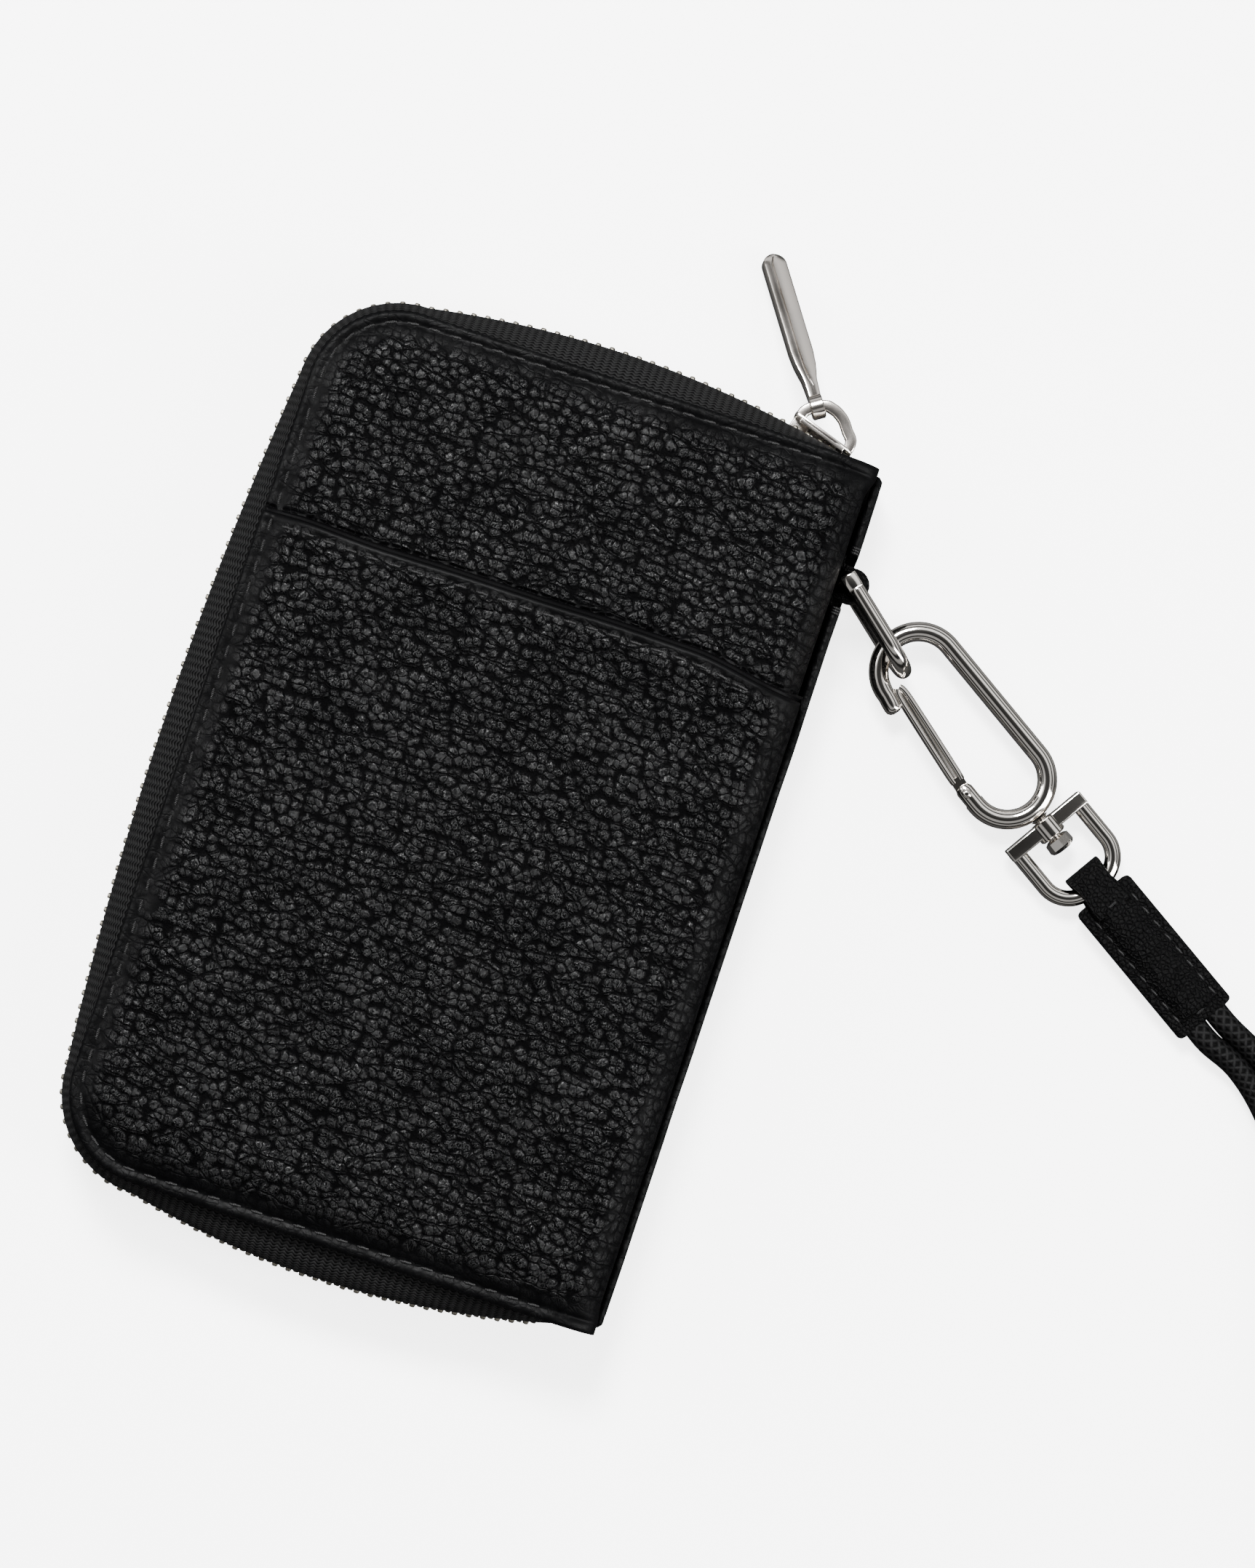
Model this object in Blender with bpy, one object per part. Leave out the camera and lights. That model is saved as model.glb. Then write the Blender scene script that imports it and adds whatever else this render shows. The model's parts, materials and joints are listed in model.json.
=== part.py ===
"""Zip-around wristlet wallet lying on its back, with a ring, a snap hook, a swivel and a wrist cord.

The file works in millimetres and scales to metres when a mesh is made. +Z is up through the
thickness, +Y runs along the spine towards the parked zip slider, +X points out of the spine.
The origin is the centre of the back face.
"""

import math

import bmesh
import bpy
import numpy as np
from mathutils import Matrix, Vector

MM = 0.001

# Overall sizes of the closed wallet.
LENGTH = 152.0
WIDTH = 96.6
CORNER_R = 15.0
FRONT_EDGE_Z = 19.6

# Sheet thicknesses and the clearance between neighbouring pieces.
GAP = 0.3
LEATHER = 1.5
POCKET_LEATHER = 1.2
BOARD = 1.0
LINING = 0.5
TAPE = 0.6

# Padded crown of the front leather above its edge.
EDGE_HEIGHT = 1.2
CROWN = 2.1

# Spine wall and the roll of the front leather that meets it.
SPINE_WALL = 1.7
SPINE_TOP_Z = 14.3
HINGE_INSET = 1.3
ROLL_WALL = 1.3
ROLL_RUN = 6.0
END_HEM = 0.6

# Front slip pocket.
POCKET_TOP_FROM_END = 39.4

# Zip: how far the tape bulges past the panels, and its teeth.
ZIP_END_FROM_SPINE = 7.3
ZIP_STOP = 1.0
STOP_SWING = 0.7
BULGE_TOP = 4.8
BULGE_SIDE = 4.8
BULGE_BOTTOM = 5.6
BULGE_CORNER = 1.8
TAPE_TUCK = 2.8
TAPE_STRAIGHT = 4.4
TOOTH_WIDTH = 1.6
TOOTH_HEIGHT = 1.5
TOOTH_SLIT = 0.7

# Slider, bail and puller.
SLIDER_FROM_SPINE = 12.9
SLIDER_LENGTH = 11.6
SLIDER_HEIGHT = 7.6
SLIDER_INNER_HEIGHT = 6.2
SLIDER_PLATE = 0.7
SLIDER_LIP = 0.5
SLIDER_LIP_RISE = 0.8
SLIDER_YAW = math.radians(-6.0)
SLIDER_SLOT = TOOTH_WIDTH + SLIDER_LENGTH * math.sin(abs(SLIDER_YAW)) + 2 * GAP
BAIL_WIRE_R = 0.95
BAIL_RISE = 3.9
PULLER_LENGTH = 28.8
PULLER_WIDTH = 4.2
PULLER_THICK = 2.0
PULLER_HOLE_R = BAIL_WIRE_R + 0.35
PULLER_EYE_R = PULLER_HOLE_R + 0.9
PULLER_NECK = 2.4
PULLER_HEADING = math.radians(123.6)
PULLER_DROOP = math.radians(19.0)

# Ring tab and D ring.
RING_FROM_END = 19.4
RING_WIRE_R = 1.45
RING_HEIGHT = 14.0
RING_LENGTH = 19.5
RING_HEADING = math.radians(-40.0)
RING_LIFT = 0.4
RING_Z = RING_HEIGHT / 2 + RING_LIFT
TAB_LEATHER = 1.2
TAB_CLEAR = 0.25
TAB_R = RING_WIRE_R + TAB_CLEAR + TAB_LEATHER
TAB_WINDOW = TAB_R + 1.0
TAB_TAIL = 3.7

# Snap hook.
HOOK_WIRE_R = 1.7
HOOK_HALF_WIDTH = 6.8
HOOK_LENGTH = 37.3
HOOK_OFFSET = 1.4
HOOK_HEADING = math.radians(-32.0)
HOOK_FROM_BOW = 7.9
HOOK_ON_RING = RING_LENGTH - HOOK_FROM_BOW
HOOK_REST_Z = 5.4
NOSE_R = 1.05
HOOK_PAST_GATE = 17.9
GATE_LENGTH = HOOK_LENGTH - HOOK_PAST_GATE
GATE_WIDTH = 2.8
GATE_LEAN = 2.3
PIN_R = 0.55
PIN_CLEAR = 0.1

# Swivel pin and eye.
EYE_WIRE_R = 1.4
EYE_HALF_WIDTH = 6.7
EYE_BAR = 2.6
EYE_LENGTH = 15.7
EYE_CORNER_R = 5.2
SWIVEL_NECK_R = 1.2
SWIVEL_CLEAR = 0.1
SWIVEL_HEAD_R = 2.4
SWIVEL_HEAD = 2.2

# Leather connector and wrist cord.
STRAP_WIDTH = 11.2
STRAP_LOOP_WIDTH = 7.0
STRAP_LENGTH = 29.4
STRAP_LOOP_REACH = 3.9
STRAP_HOLE_R = EYE_WIRE_R + 0.6
STRAP_WALL = 0.95
STRAP_THICK = 2 * (STRAP_HOLE_R + STRAP_WALL)
STRAP_REST_Z = STRAP_THICK / 2 + GAP
CORD_R = 2.1

# Pieces inside.
CARD_LEAVES = 4
CARD_STEP = 10.0
CARD_WIDTH = 92.0
CARD_LEAF = 0.8
DIVIDER_LEAF = 0.9
DIVIDER_SPACE = 0.8

# Places that follow from the sizes above.
HALF_W = WIDTH / 2
HALF_L = LENGTH / 2
CORNER_X = -HALF_W + CORNER_R
CORNER_Y = HALF_L - CORNER_R
HINGE_X = HALF_W - HINGE_INSET
HINGE_Z = SPINE_TOP_Z + GAP
ROLL_BOTTOM_Z = HINGE_Z + GAP
ROLL_X = HINGE_X - GAP - ROLL_WALL
BACK_TAPE_Z = LEATHER + GAP + TAPE / 2
FRONT_TAPE_Z = FRONT_EDGE_Z - GAP - TAPE / 2
ZIP_Z = (BACK_TAPE_Z + FRONT_TAPE_Z) / 2
BACK_LINING_Z = LEATHER + GAP + BOARD + GAP
FRONT_LINING_Z = FRONT_EDGE_Z - GAP - BOARD - GAP - LINING
INNER_BACK_Z = BACK_LINING_Z + LINING + GAP
INNER_FRONT_Z = FRONT_LINING_Z - GAP
ZIP_END_X = HALF_W - ZIP_END_FROM_SPINE
BOARD_INSET = TAPE_TUCK + 1.4
TAPE_END_X = ZIP_END_X + GAP + ZIP_STOP + STOP_SWING
SLIDER_X = HALF_W - SLIDER_FROM_SPINE
TRACK_R = ZIP_END_X**2 / (2 * BULGE_TOP)
TRACK_Y = HALF_L + BULGE_TOP - TRACK_R


def material(name, color, roughness, metallic=0.0):
    made = bpy.data.materials.new(name)
    made.use_nodes = True
    shader = made.node_tree.nodes["Principled BSDF"]
    shader.inputs["Base Color"].default_value = (*color, 1.0)
    shader.inputs["Roughness"].default_value = roughness
    shader.inputs["Metallic"].default_value = metallic
    return made


def empty(name, place, turn=(0.0, 0.0, 0.0), parent=None):
    """A joint's own frame, in millimetres under its parent."""
    made = bpy.data.objects.new(name, None)
    made.location = Vector(place) * MM
    made.rotation_euler = turn
    made.parent = parent
    bpy.context.scene.collection.objects.link(made)
    return made


def finish_mesh(name, mesh_data, look, parent=None, smooth=False):
    """Scales a bmesh from millimetres, turns its faces outwards and makes the object."""
    bmesh.ops.recalc_face_normals(mesh_data, faces=mesh_data.faces)
    bmesh.ops.scale(mesh_data, vec=(MM, MM, MM), verts=mesh_data.verts)
    mesh = bpy.data.meshes.new(name)
    mesh_data.to_mesh(mesh)
    mesh_data.free()
    mesh.materials.append(look)
    if smooth:
        mesh.shade_smooth()
        mesh.set_sharp_from_angle(angle=math.radians(40))
    made = bpy.data.objects.new(name, mesh)
    made.parent = parent
    bpy.context.scene.collection.objects.link(made)
    return made


def cutter(name, mesh_data, parent=None):
    made = finish_mesh(name, mesh_data, bpy.data.materials["helper"], parent)
    made.hide_render = True
    made.display_type = "WIRE"
    return made


def combine(target, other, operation):
    step = target.modifiers.new(other.name, "BOOLEAN")
    step.operation = operation
    step.object = other
    step.solver = "EXACT"


def arc(center, radius, start, end, steps):
    """Points on an arc in degrees, both ends included."""
    angles = np.radians(np.linspace(start, end, steps + 1))
    return [(center[0] + radius * math.cos(a), center[1] + radius * math.sin(a)) for a in angles]


def prism(outline, low, high, axis="z"):
    """An outline swept straight along an axis: (x, y) along z, (x, z) along y, (y, z) along x."""
    place = {
        "z": lambda p, h: (p[0], p[1], h),
        "y": lambda p, h: (p[0], h, p[1]),
        "x": lambda p, h: (h, p[0], p[1]),
    }[axis]
    made = bmesh.new()
    floor = [made.verts.new(place(p, low)) for p in outline]
    roof = [made.verts.new(place(p, high)) for p in outline]
    made.faces.new(floor)
    made.faces.new(roof)
    count = len(outline)
    for i in range(count):
        j = (i + 1) % count
        made.faces.new((floor[i], floor[j], roof[j], roof[i]))
    return made


def box(low, high):
    corners = [(low[0], low[1]), (high[0], low[1]), (high[0], high[1]), (low[0], high[1])]
    return prism(corners, low[2], high[2])


def loft(rings, closed_path=False):
    """Skins rings of equal length; the two end rings are capped unless the path is closed."""
    made = bmesh.new()
    rows = [[made.verts.new(p) for p in ring] for ring in rings]
    count = len(rows[0])
    pairs = list(zip(rows, rows[1:]))
    if closed_path:
        pairs.append((rows[-1], rows[0]))
    else:
        made.faces.new(rows[0])
        made.faces.new(rows[-1])
    for near, far in pairs:
        for i in range(count):
            j = (i + 1) % count
            made.faces.new((near[i], near[j], far[j], far[i]))
    return made


def wire(path, radii, sides=10, closed=False):
    """A round wire along a path in the local XY plane."""
    rings = []
    count = len(path)
    for i, here in enumerate(path):
        before = path[i - 1] if closed or i else here
        after = path[(i + 1) % count] if closed or i < count - 1 else here
        along = Vector((after[0] - before[0], after[1] - before[1])).normalized()
        radius = radii[i] if isinstance(radii, list) else radii
        turns = [2 * math.pi * k / sides for k in range(sides)]
        rings.append([
            (
                here[0] - along.y * radius * math.cos(a),
                here[1] + along.x * radius * math.cos(a),
                radius * math.sin(a),
            )
            for a in turns
        ])
    return loft(rings, closed)


def drum(center, radius, low, high, axis, sides=16):
    """A cylinder whose outline is round about center in the plane across axis."""
    outline = arc(center, radius, 0, 360, sides)[:-1]
    return prism(outline, low, high, axis)


# ---------------------------------------------------------------- panels


def panel_outline(inset, right):
    """Panel outline: square at the spine, round at the zip corners, with stops near the spine."""
    top = HALF_L - inset
    radius = CORNER_R - inset
    stops = [right, right - ROLL_RUN / 3, right - 2 * ROLL_RUN / 3, right - ROLL_RUN]
    lower = [(x, -top) for x in stops]
    corners = arc((CORNER_X, -CORNER_Y), radius, 270, 180, 7)
    corners += arc((CORNER_X, CORNER_Y), radius, 180, 90, 7)
    return lower + corners + [(x, top) for x in reversed(stops)]


def roll_ease(x, right):
    """0 on the flat of the cover, rising smoothly to 1 at the spine side."""
    ease = min(max((x - right) / ROLL_RUN + 1.0, 0.0), 1.0)
    return ease * ease * (3 - 2 * ease)


def cover_ring(inset, zip_z, right, spine_z):
    """A panel ring whose height eases from the zip side's height to the spine side's."""
    outline = panel_outline(inset, right)
    return [(x, y, zip_z + (spine_z - zip_z) * roll_ease(x, right)) for x, y in outline]


def flat_sheet(name, inset, right, low, high, look):
    return finish_mesh(name, prism(panel_outline(inset, right), low, high), look)


def front_profile(lift, out):
    """Rings of the front leather's upper surface, from its edge to its crest, raised by lift and
    moved out at the spine by out."""
    edge = FRONT_EDGE_Z + lift
    low = ROLL_BOTTOM_Z + min(lift, GAP)
    right = ROLL_X + out
    crest = FRONT_EDGE_Z + EDGE_HEIGHT + CROWN + lift
    return [
        (0.0, edge + EDGE_HEIGHT, right, low + 0.7),
        (3.0, edge + EDGE_HEIGHT + 0.1, right - 0.5, low + 3.7),
        (6.5, edge + EDGE_HEIGHT + 1.4, right - 2.2, crest - 1.7),
        (14.0, crest, right - 5.4, crest),
    ]


def front_leather(look):
    outer = front_profile(0.0, 0.0)
    right = outer[0][2]
    crest = outer[-1][1]
    inner = [
        (14.6, crest - LEATHER, right - 5.9, crest - LEATHER),
        (8.0, crest - LEATHER - 0.7, right - 3.2, crest - LEATHER - 1.3),
        (5.2, FRONT_EDGE_Z + 0.4, right - 1.8, ROLL_BOTTOM_Z + 3.2),
        (3.8, FRONT_EDGE_Z, right - 1.3, ROLL_BOTTOM_Z),
        (0.0, FRONT_EDGE_Z, right, ROLL_BOTTOM_Z),
    ]
    rings = [cover_ring(*row) for row in inner + outer]
    return finish_mesh("front_panel", loft(rings), look, smooth=True)


def front_pocket(look):
    """The slip pocket over the lower part of the front; its top edge is cut straight."""
    inner = list(reversed(front_profile(GAP, GAP)))
    outer = front_profile(GAP + POCKET_LEATHER, GAP + 1.0)
    made = loft([cover_ring(*row) for row in inner + outer])
    bmesh.ops.recalc_face_normals(made, faces=made.faces)
    everything = made.verts[:] + made.edges[:] + made.faces[:]
    mouth = (0.0, HALF_L - POCKET_TOP_FROM_END, 0.0)
    bmesh.ops.bisect_plane(
        made, geom=everything, plane_co=mouth, plane_no=(0, 1, 0), clear_outer=True
    )
    rim = [edge for edge in made.edges if edge.is_boundary]
    bmesh.ops.contextual_create(made, geom=rim)
    return finish_mesh("front_pocket", made, look, smooth=True)


def front_padding(look):
    right = HINGE_X - GAP - 5.4
    top = FRONT_EDGE_Z + EDGE_HEIGHT + CROWN - LEATHER - GAP
    rows = [
        (8.8, FRONT_EDGE_Z + 0.1, right, FRONT_EDGE_Z + 0.1),
        (8.8, top - 1.0, right, top - 1.1),
        (15.0, top, right - 2.4, top),
    ]
    return finish_mesh("front_padding", loft([cover_ring(*row) for row in rows]), look)


# ---------------------------------------------------------------- spine and ring tab


def spine_panel(look):
    """The spine's leather: a low foot beside the back panel and a wall up to its folded ridge."""
    inner = HALF_W - SPINE_WALL
    foot = inner - 2.6
    outline = [
        (foot, 0.0),
        (inner - 0.2, 0.0),
        (HALF_W - 0.6, 1.0),
        (HALF_W, 2.8),
        (HALF_W, SPINE_TOP_Z - 1.1),
        (HALF_W - 0.4, SPINE_TOP_Z - 0.2),
        (HALF_W - 1.0, SPINE_TOP_Z),
        (inner + 0.2, SPINE_TOP_Z - 0.3),
        (inner, SPINE_TOP_Z - 1.1),
        (inner, 2.4),
        (inner - 0.7, LEATHER),
        (foot, LEATHER),
    ]
    end = HALF_L - END_HEM
    wall = finish_mesh("spine_panel", prism(outline, -end, end, "y"), look, smooth=True)
    ring_y = HALF_L - RING_FROM_END
    low = (inner - 0.1, ring_y - TAB_WINDOW, -1.0)
    window = box(low, (HALF_W + 1.0, ring_y + TAB_WINDOW, SPINE_TOP_Z + 1.0))
    combine(wall, cutter("spine_window", window), "DIFFERENCE")
    return wall


def spine_lining(look):
    outer = HALF_W - SPINE_WALL - GAP - 1.0 - GAP
    end = HALF_L - 4.0
    low = (outer - 0.8, -end, INNER_BACK_Z)
    return finish_mesh("spine_lining", box(low, (outer, end, SPINE_TOP_Z - 0.4)), look)


def ring_tab(look, ring_x, ring_y):
    """An omega of leather: a loop round the ring's bar, and two tails sewn behind the spine wall."""
    back = HALF_W - SPINE_WALL - GAP
    neck = TAB_R - 0.1
    tail = TAB_R + TAB_TAIL
    loop = arc((ring_x, ring_y), TAB_R, -90, 90, 10)
    outline = [
        (back - 1.0, ring_y - tail),
        (back, ring_y - tail),
        (back, ring_y - neck),
        *loop,
        (back, ring_y + neck),
        (back, ring_y + tail),
        (back - 1.0, ring_y + tail),
    ]
    half = RING_HEIGHT / 2 - 2 * RING_WIRE_R - 0.4
    tab = finish_mesh("ring_tab", prism(outline, RING_Z - half, RING_Z + half), look)
    hole = drum((ring_x, ring_y), RING_WIRE_R + TAB_CLEAR, RING_Z - 20, RING_Z + 20, "z")
    combine(tab, cutter("ring_tab_hole", hole), "DIFFERENCE")
    return tab


# ---------------------------------------------------------------- zip


def bulge_along(distance, half_span, middle, end):
    return end + (middle - end) * (1 - (distance / half_span) ** 2)


def zip_stations():
    """(base, normal, bulge) along the three zip sides, from the slider's end to the far end."""
    found = []
    for x in np.linspace(TAPE_END_X, CORNER_X, 15):
        found.append(((x, HALF_L), (0.0, 1.0), bulge_along(x, ZIP_END_X, BULGE_TOP, 0.0)))
    first = found[-1][2]
    for step, a in enumerate(np.radians(np.linspace(90, 180, 7))[1:-1], 1):
        normal = (math.cos(a), math.sin(a))
        base = (CORNER_X + CORNER_R * normal[0], CORNER_Y + CORNER_R * normal[1])
        found.append((base, normal, first + (BULGE_CORNER - first) * step / 6))
    for y in np.linspace(CORNER_Y, -CORNER_Y, 17):
        found.append(((-HALF_W, y), (-1.0, 0.0), bulge_along(y, CORNER_Y, BULGE_SIDE, BULGE_CORNER)))
    last = bulge_along(CORNER_X, ZIP_END_X, BULGE_BOTTOM, 0.0)
    for step, a in enumerate(np.radians(np.linspace(180, 270, 7))[1:-1], 1):
        normal = (math.cos(a), math.sin(a))
        base = (CORNER_X + CORNER_R * normal[0], -CORNER_Y + CORNER_R * normal[1])
        found.append((base, normal, BULGE_CORNER + (last - BULGE_CORNER) * step / 6))
    for x in np.linspace(CORNER_X, TAPE_END_X, 15):
        found.append(((x, -HALF_L), (0.0, -1.0), bulge_along(x, ZIP_END_X, BULGE_BOTTOM, 0.0)))
    return found


def tape_profile(bulge, flange_z, side):
    """Closed section of one tape, (out, z): sewn flange, rounded shoulder and straight tooth edge."""
    edge_z = ZIP_Z + side * (TOOTH_SLIT + TOOTH_HEIGHT + GAP)
    straight_z = ZIP_Z + side * TAPE_STRAIGHT
    middle = [(-TAPE_TUCK, flange_z), (-0.6, flange_z)]
    for part in (0.35, 0.7):
        turn = part * math.pi / 2
        out = (bulge + 0.6) * math.sin(turn) - 0.6
        middle.append((out, straight_z + (flange_z - straight_z) * math.cos(turn)))
    middle += [(bulge, straight_z), (bulge, edge_z)]
    upper, lower = [], []
    for i, here in enumerate(middle):
        before = middle[max(i - 1, 0)]
        after = middle[min(i + 1, len(middle) - 1)]
        along = Vector((after[0] - before[0], after[1] - before[1])).normalized()
        across = Vector((-along.y, along.x)) * TAPE / 2
        upper.append((here[0] + across.x, here[1] + across.y))
        lower.append((here[0] - across.x, here[1] - across.y))
    return upper + list(reversed(lower))


def zip_tape(name, flange_z, side, look):
    rings = []
    for base, normal, bulge in zip_stations():
        sewn_z = flange_z
        if side > 0:
            drop = (FRONT_EDGE_Z - ROLL_BOTTOM_Z) * roll_ease(base[0], ROLL_X - 1.8)
            sewn_z = max(flange_z - drop, ZIP_Z + TAPE_STRAIGHT + 0.5)
        section = tape_profile(bulge, sewn_z, side)
        rings.append([(base[0] + normal[0] * out, base[1] + normal[1] * out, z) for out, z in section])
    return finish_mesh(name, loft(rings), look, smooth=True)


def zip_teeth(name, side, stations, look):
    """One row of teeth as a continuous rail on the tape's edge."""
    low, high = sorted(ZIP_Z + side * h for h in (TOOTH_SLIT, TOOTH_SLIT + TOOTH_HEIGHT))
    half = TOOTH_WIDTH / 2
    section = [(-half, low), (half, low), (half, high), (-half, high)]
    rings = []
    for base, normal, bulge in stations:
        outs = [(bulge + out, z) for out, z in section]
        rings.append([(base[0] + normal[0] * out, base[1] + normal[1] * out, z) for out, z in outs])
    return finish_mesh(name, loft(rings), look)


def row_stations(first_x):
    """Zip stations between a start near the slider and the far end's stop."""
    limit = ZIP_END_X - GAP
    found = []
    for base, normal, bulge in zip_stations():
        if base[1] == HALF_L and base[0] > first_x:
            continue
        if base[1] == -HALF_L and base[0] > limit:
            continue
        found.append((base, normal, bulge))
    start = ((first_x, HALF_L), (0.0, 1.0), bulge_along(first_x, ZIP_END_X, BULGE_TOP, 0.0))
    end = ((limit, -HALF_L), (0.0, -1.0), bulge_along(limit, ZIP_END_X, BULGE_BOTTOM, 0.0))
    return [start, *found, end]


def zip_stop(name, side, y_side, look):
    """The metal stop at a tape's end. The front one stands back, as it swings towards the slider."""
    x = ZIP_END_X + GAP + (STOP_SWING if side > 0 else 0.0)
    bulge = bulge_along(x, ZIP_END_X, BULGE_TOP if y_side > 0 else BULGE_BOTTOM, 0.0)
    y = y_side * (HALF_L + bulge)
    low, high = sorted(ZIP_Z + side * h for h in (TOOTH_SLIT, TOOTH_SLIT + TOOTH_HEIGHT))
    half = TOOTH_WIDTH / 2
    return finish_mesh(name, box((x, y - half, low), (x + ZIP_STOP, y + half, high)), look)


def slider_body(look, frame):
    """Two plates with turned-in lips, joined by a web that runs in the slit between the rows.

    The inner plate is lower, so that it clears the tapes where they turn in to their seams.
    """
    inner = SLIDER_SLOT / 2
    outer = inner + SLIDER_PLATE
    web = TOOTH_SLIT - GAP
    mouth = inner - SLIDER_LIP

    def half_section(half):
        lip = half - SLIDER_LIP_RISE
        return [(outer, half), (mouth, half), (mouth, lip), (inner, lip), (inner, web)]

    right, left = half_section(SLIDER_HEIGHT / 2), half_section(SLIDER_INNER_HEIGHT / 2)
    section = right + [(-y, z) for y, z in reversed(left)]
    section += [(-y, -z) for y, z in left] + [(y, -z) for y, z in reversed(right)]
    end = SLIDER_LENGTH / 2
    return finish_mesh("slider_body", prism(section, -end, end, "x"), look, frame)


def slider_bail(look, frame):
    """The wire bridge on the outer plate, with a slanted shoulder that carries the puller."""
    foot = SLIDER_SLOT / 2 + SLIDER_PLATE + GAP
    end = SLIDER_LENGTH / 2 - BAIL_WIRE_R
    crest = foot + BAIL_RISE
    path = [(-end, foot), (-end, foot + 0.9), (-end + 0.25, foot + 1.5)]
    path += [(-end + 2.4, crest - 0.25), (-end + 3.1, crest)]
    path += arc((-0.2, foot), BAIL_RISE, 90, 40, 3)[1:]
    path += [(end - 0.35, foot + 1.5), (end, foot + 0.6), (end, foot)]
    return finish_mesh("slider_bail", wire(path, BAIL_WIRE_R, 8), look, frame, smooth=True)


def zip_puller(look, frame):
    """A narrow bar with a round end, necked down to an eye on the bail."""
    wide = PULLER_WIDTH / 2
    neck = PULLER_NECK / 2
    tip = PULLER_LENGTH - wide
    outline = [(0.0, -neck), (5.0, -neck), (8.5, -wide)]
    outline += arc((tip, 0), wide, -90, 90, 8) + [(8.5, wide), (5.0, neck), (0.0, neck)]
    half = PULLER_THICK / 2
    bar = finish_mesh("zip_puller", prism(outline, -half, half), look, frame)
    eye = cutter("puller_eye", drum((0.0, 0.0), PULLER_EYE_R, -neck, neck, "y"), frame)
    combine(bar, eye, "UNION")
    hole = cutter("puller_hole", drum((0.0, 0.0), PULLER_HOLE_R, -9, 9, "y"), frame)
    combine(bar, hole, "DIFFERENCE")
    return bar


# ---------------------------------------------------------------- ring, hook and swivel


def d_ring(look, frame):
    """The ring stands on edge: its straight bar is on the frame's Z axis, its bow along +X."""
    half = RING_HEIGHT / 2 - RING_WIRE_R
    bow = RING_LENGTH - 2 * RING_WIRE_R
    corner = 2.0
    path = arc((corner, half - corner), corner, 180, 90, 4)
    path += arc((bow - half, 0), half, 90, -90, 14)
    path += arc((corner, corner - half), corner, 270, 180, 4)
    flat = wire(path, RING_WIRE_R, 10, closed=True)
    bmesh.ops.rotate(flat, cent=(0, 0, 0), matrix=Matrix.Rotation(math.pi / 2, 3, "X"), verts=flat.verts)
    return finish_mesh("d_ring", flat, look, frame, smooth=True)


def hook_pivot():
    """The gate's pivot in the hook's frame."""
    return (HOOK_LENGTH - 9.4, HOOK_OFFSET - HOOK_HALF_WIDTH - 0.2)


def snap_hook(look, frame):
    """An oval of wire from the tapered nose round to the fork that carries the gate."""
    near = (HOOK_HALF_WIDTH, HOOK_OFFSET)
    far = (HOOK_LENGTH - HOOK_HALF_WIDTH, HOOK_OFFSET)
    gate_side = HOOK_OFFSET - HOOK_HALF_WIDTH
    pivot = hook_pivot()
    path = [(near[0] + 2.2, gate_side - 0.5), (near[0] + 1.1, gate_side - 0.3)]
    radii = [NOSE_R, NOSE_R + 0.25]
    bend = arc(near, HOOK_HALF_WIDTH, 270, 90, 16)
    path += bend
    radii += [NOSE_R + 0.45, HOOK_WIRE_R - 0.1] + [HOOK_WIRE_R] * (len(bend) - 2)
    turn = arc(far, HOOK_HALF_WIDTH, 90, -90, 16)
    path += turn + [(pivot[0] - 1.6, gate_side)]
    radii += [HOOK_WIRE_R] * (len(turn) + 1)
    hook = finish_mesh("snap_hook", wire(path, radii, 10), look, frame, smooth=True)
    slot = box((pivot[0] - 4.0, gate_side - 4.0, -0.85), (pivot[0] + 1.9, gate_side + 4.0, 0.85))
    combine(hook, cutter("fork_slot", slot, frame), "DIFFERENCE")
    bore = drum(pivot, PIN_R + PIN_CLEAR, -5, 5, "z", 12)
    combine(hook, cutter("fork_bore", bore, frame), "DIFFERENCE")
    return hook


def hook_gate(look, frame):
    """The gate lies along -X of its own frame, from the pivot to its tip inside the nose."""
    wide = GATE_WIDTH / 2
    start = 2.3
    tip = GATE_LENGTH
    body = [(-start, -wide), (-start, wide), (-tip + 0.8, wide)]
    body += [(-tip, wide - 0.8), (-tip, -wide + 0.8), (-tip + 0.8, -wide)]
    gate = finish_mesh("hook_gate", prism(body, -wide, wide), look, frame)
    tongue = [*arc((0, 0), 1.2, -90, 90, 6), (-start - 0.6, 1.2), (-start - 0.6, -1.2)]
    combine(gate, cutter("gate_tongue", prism(tongue, -0.55, 0.55), frame), "UNION")
    bore = drum((0, 0), PIN_R + PIN_CLEAR, -5, 5, "z", 12)
    combine(gate, cutter("gate_bore", bore, frame), "DIFFERENCE")
    groove = box((-tip + 1.6, -0.45, wide - 0.55), (-start - 0.9, 0.45, wide + 1.0))
    combine(gate, cutter("gate_groove", groove, frame), "DIFFERENCE")
    channel = box((-8.6, -0.5, -wide - 1.0), (-start - 1.2, 0.5, -wide + 0.9))
    combine(gate, cutter("spring_channel", channel, frame), "DIFFERENCE")
    return gate


def gate_spring(look, frame):
    """The leaf spring that lies in the gate's lower channel."""
    low = -GATE_WIDTH / 2 + 0.1
    return finish_mesh("gate_spring", box((-8.2, -0.2, low), (-3.9, 0.2, low + 0.5)), look, frame)


def gate_pin(look, frame):
    pivot = hook_pivot()
    half = HOOK_WIRE_R - 0.1
    return finish_mesh("gate_pin", drum(pivot, PIN_R, -half, half, "z", 12), look, frame)


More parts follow.
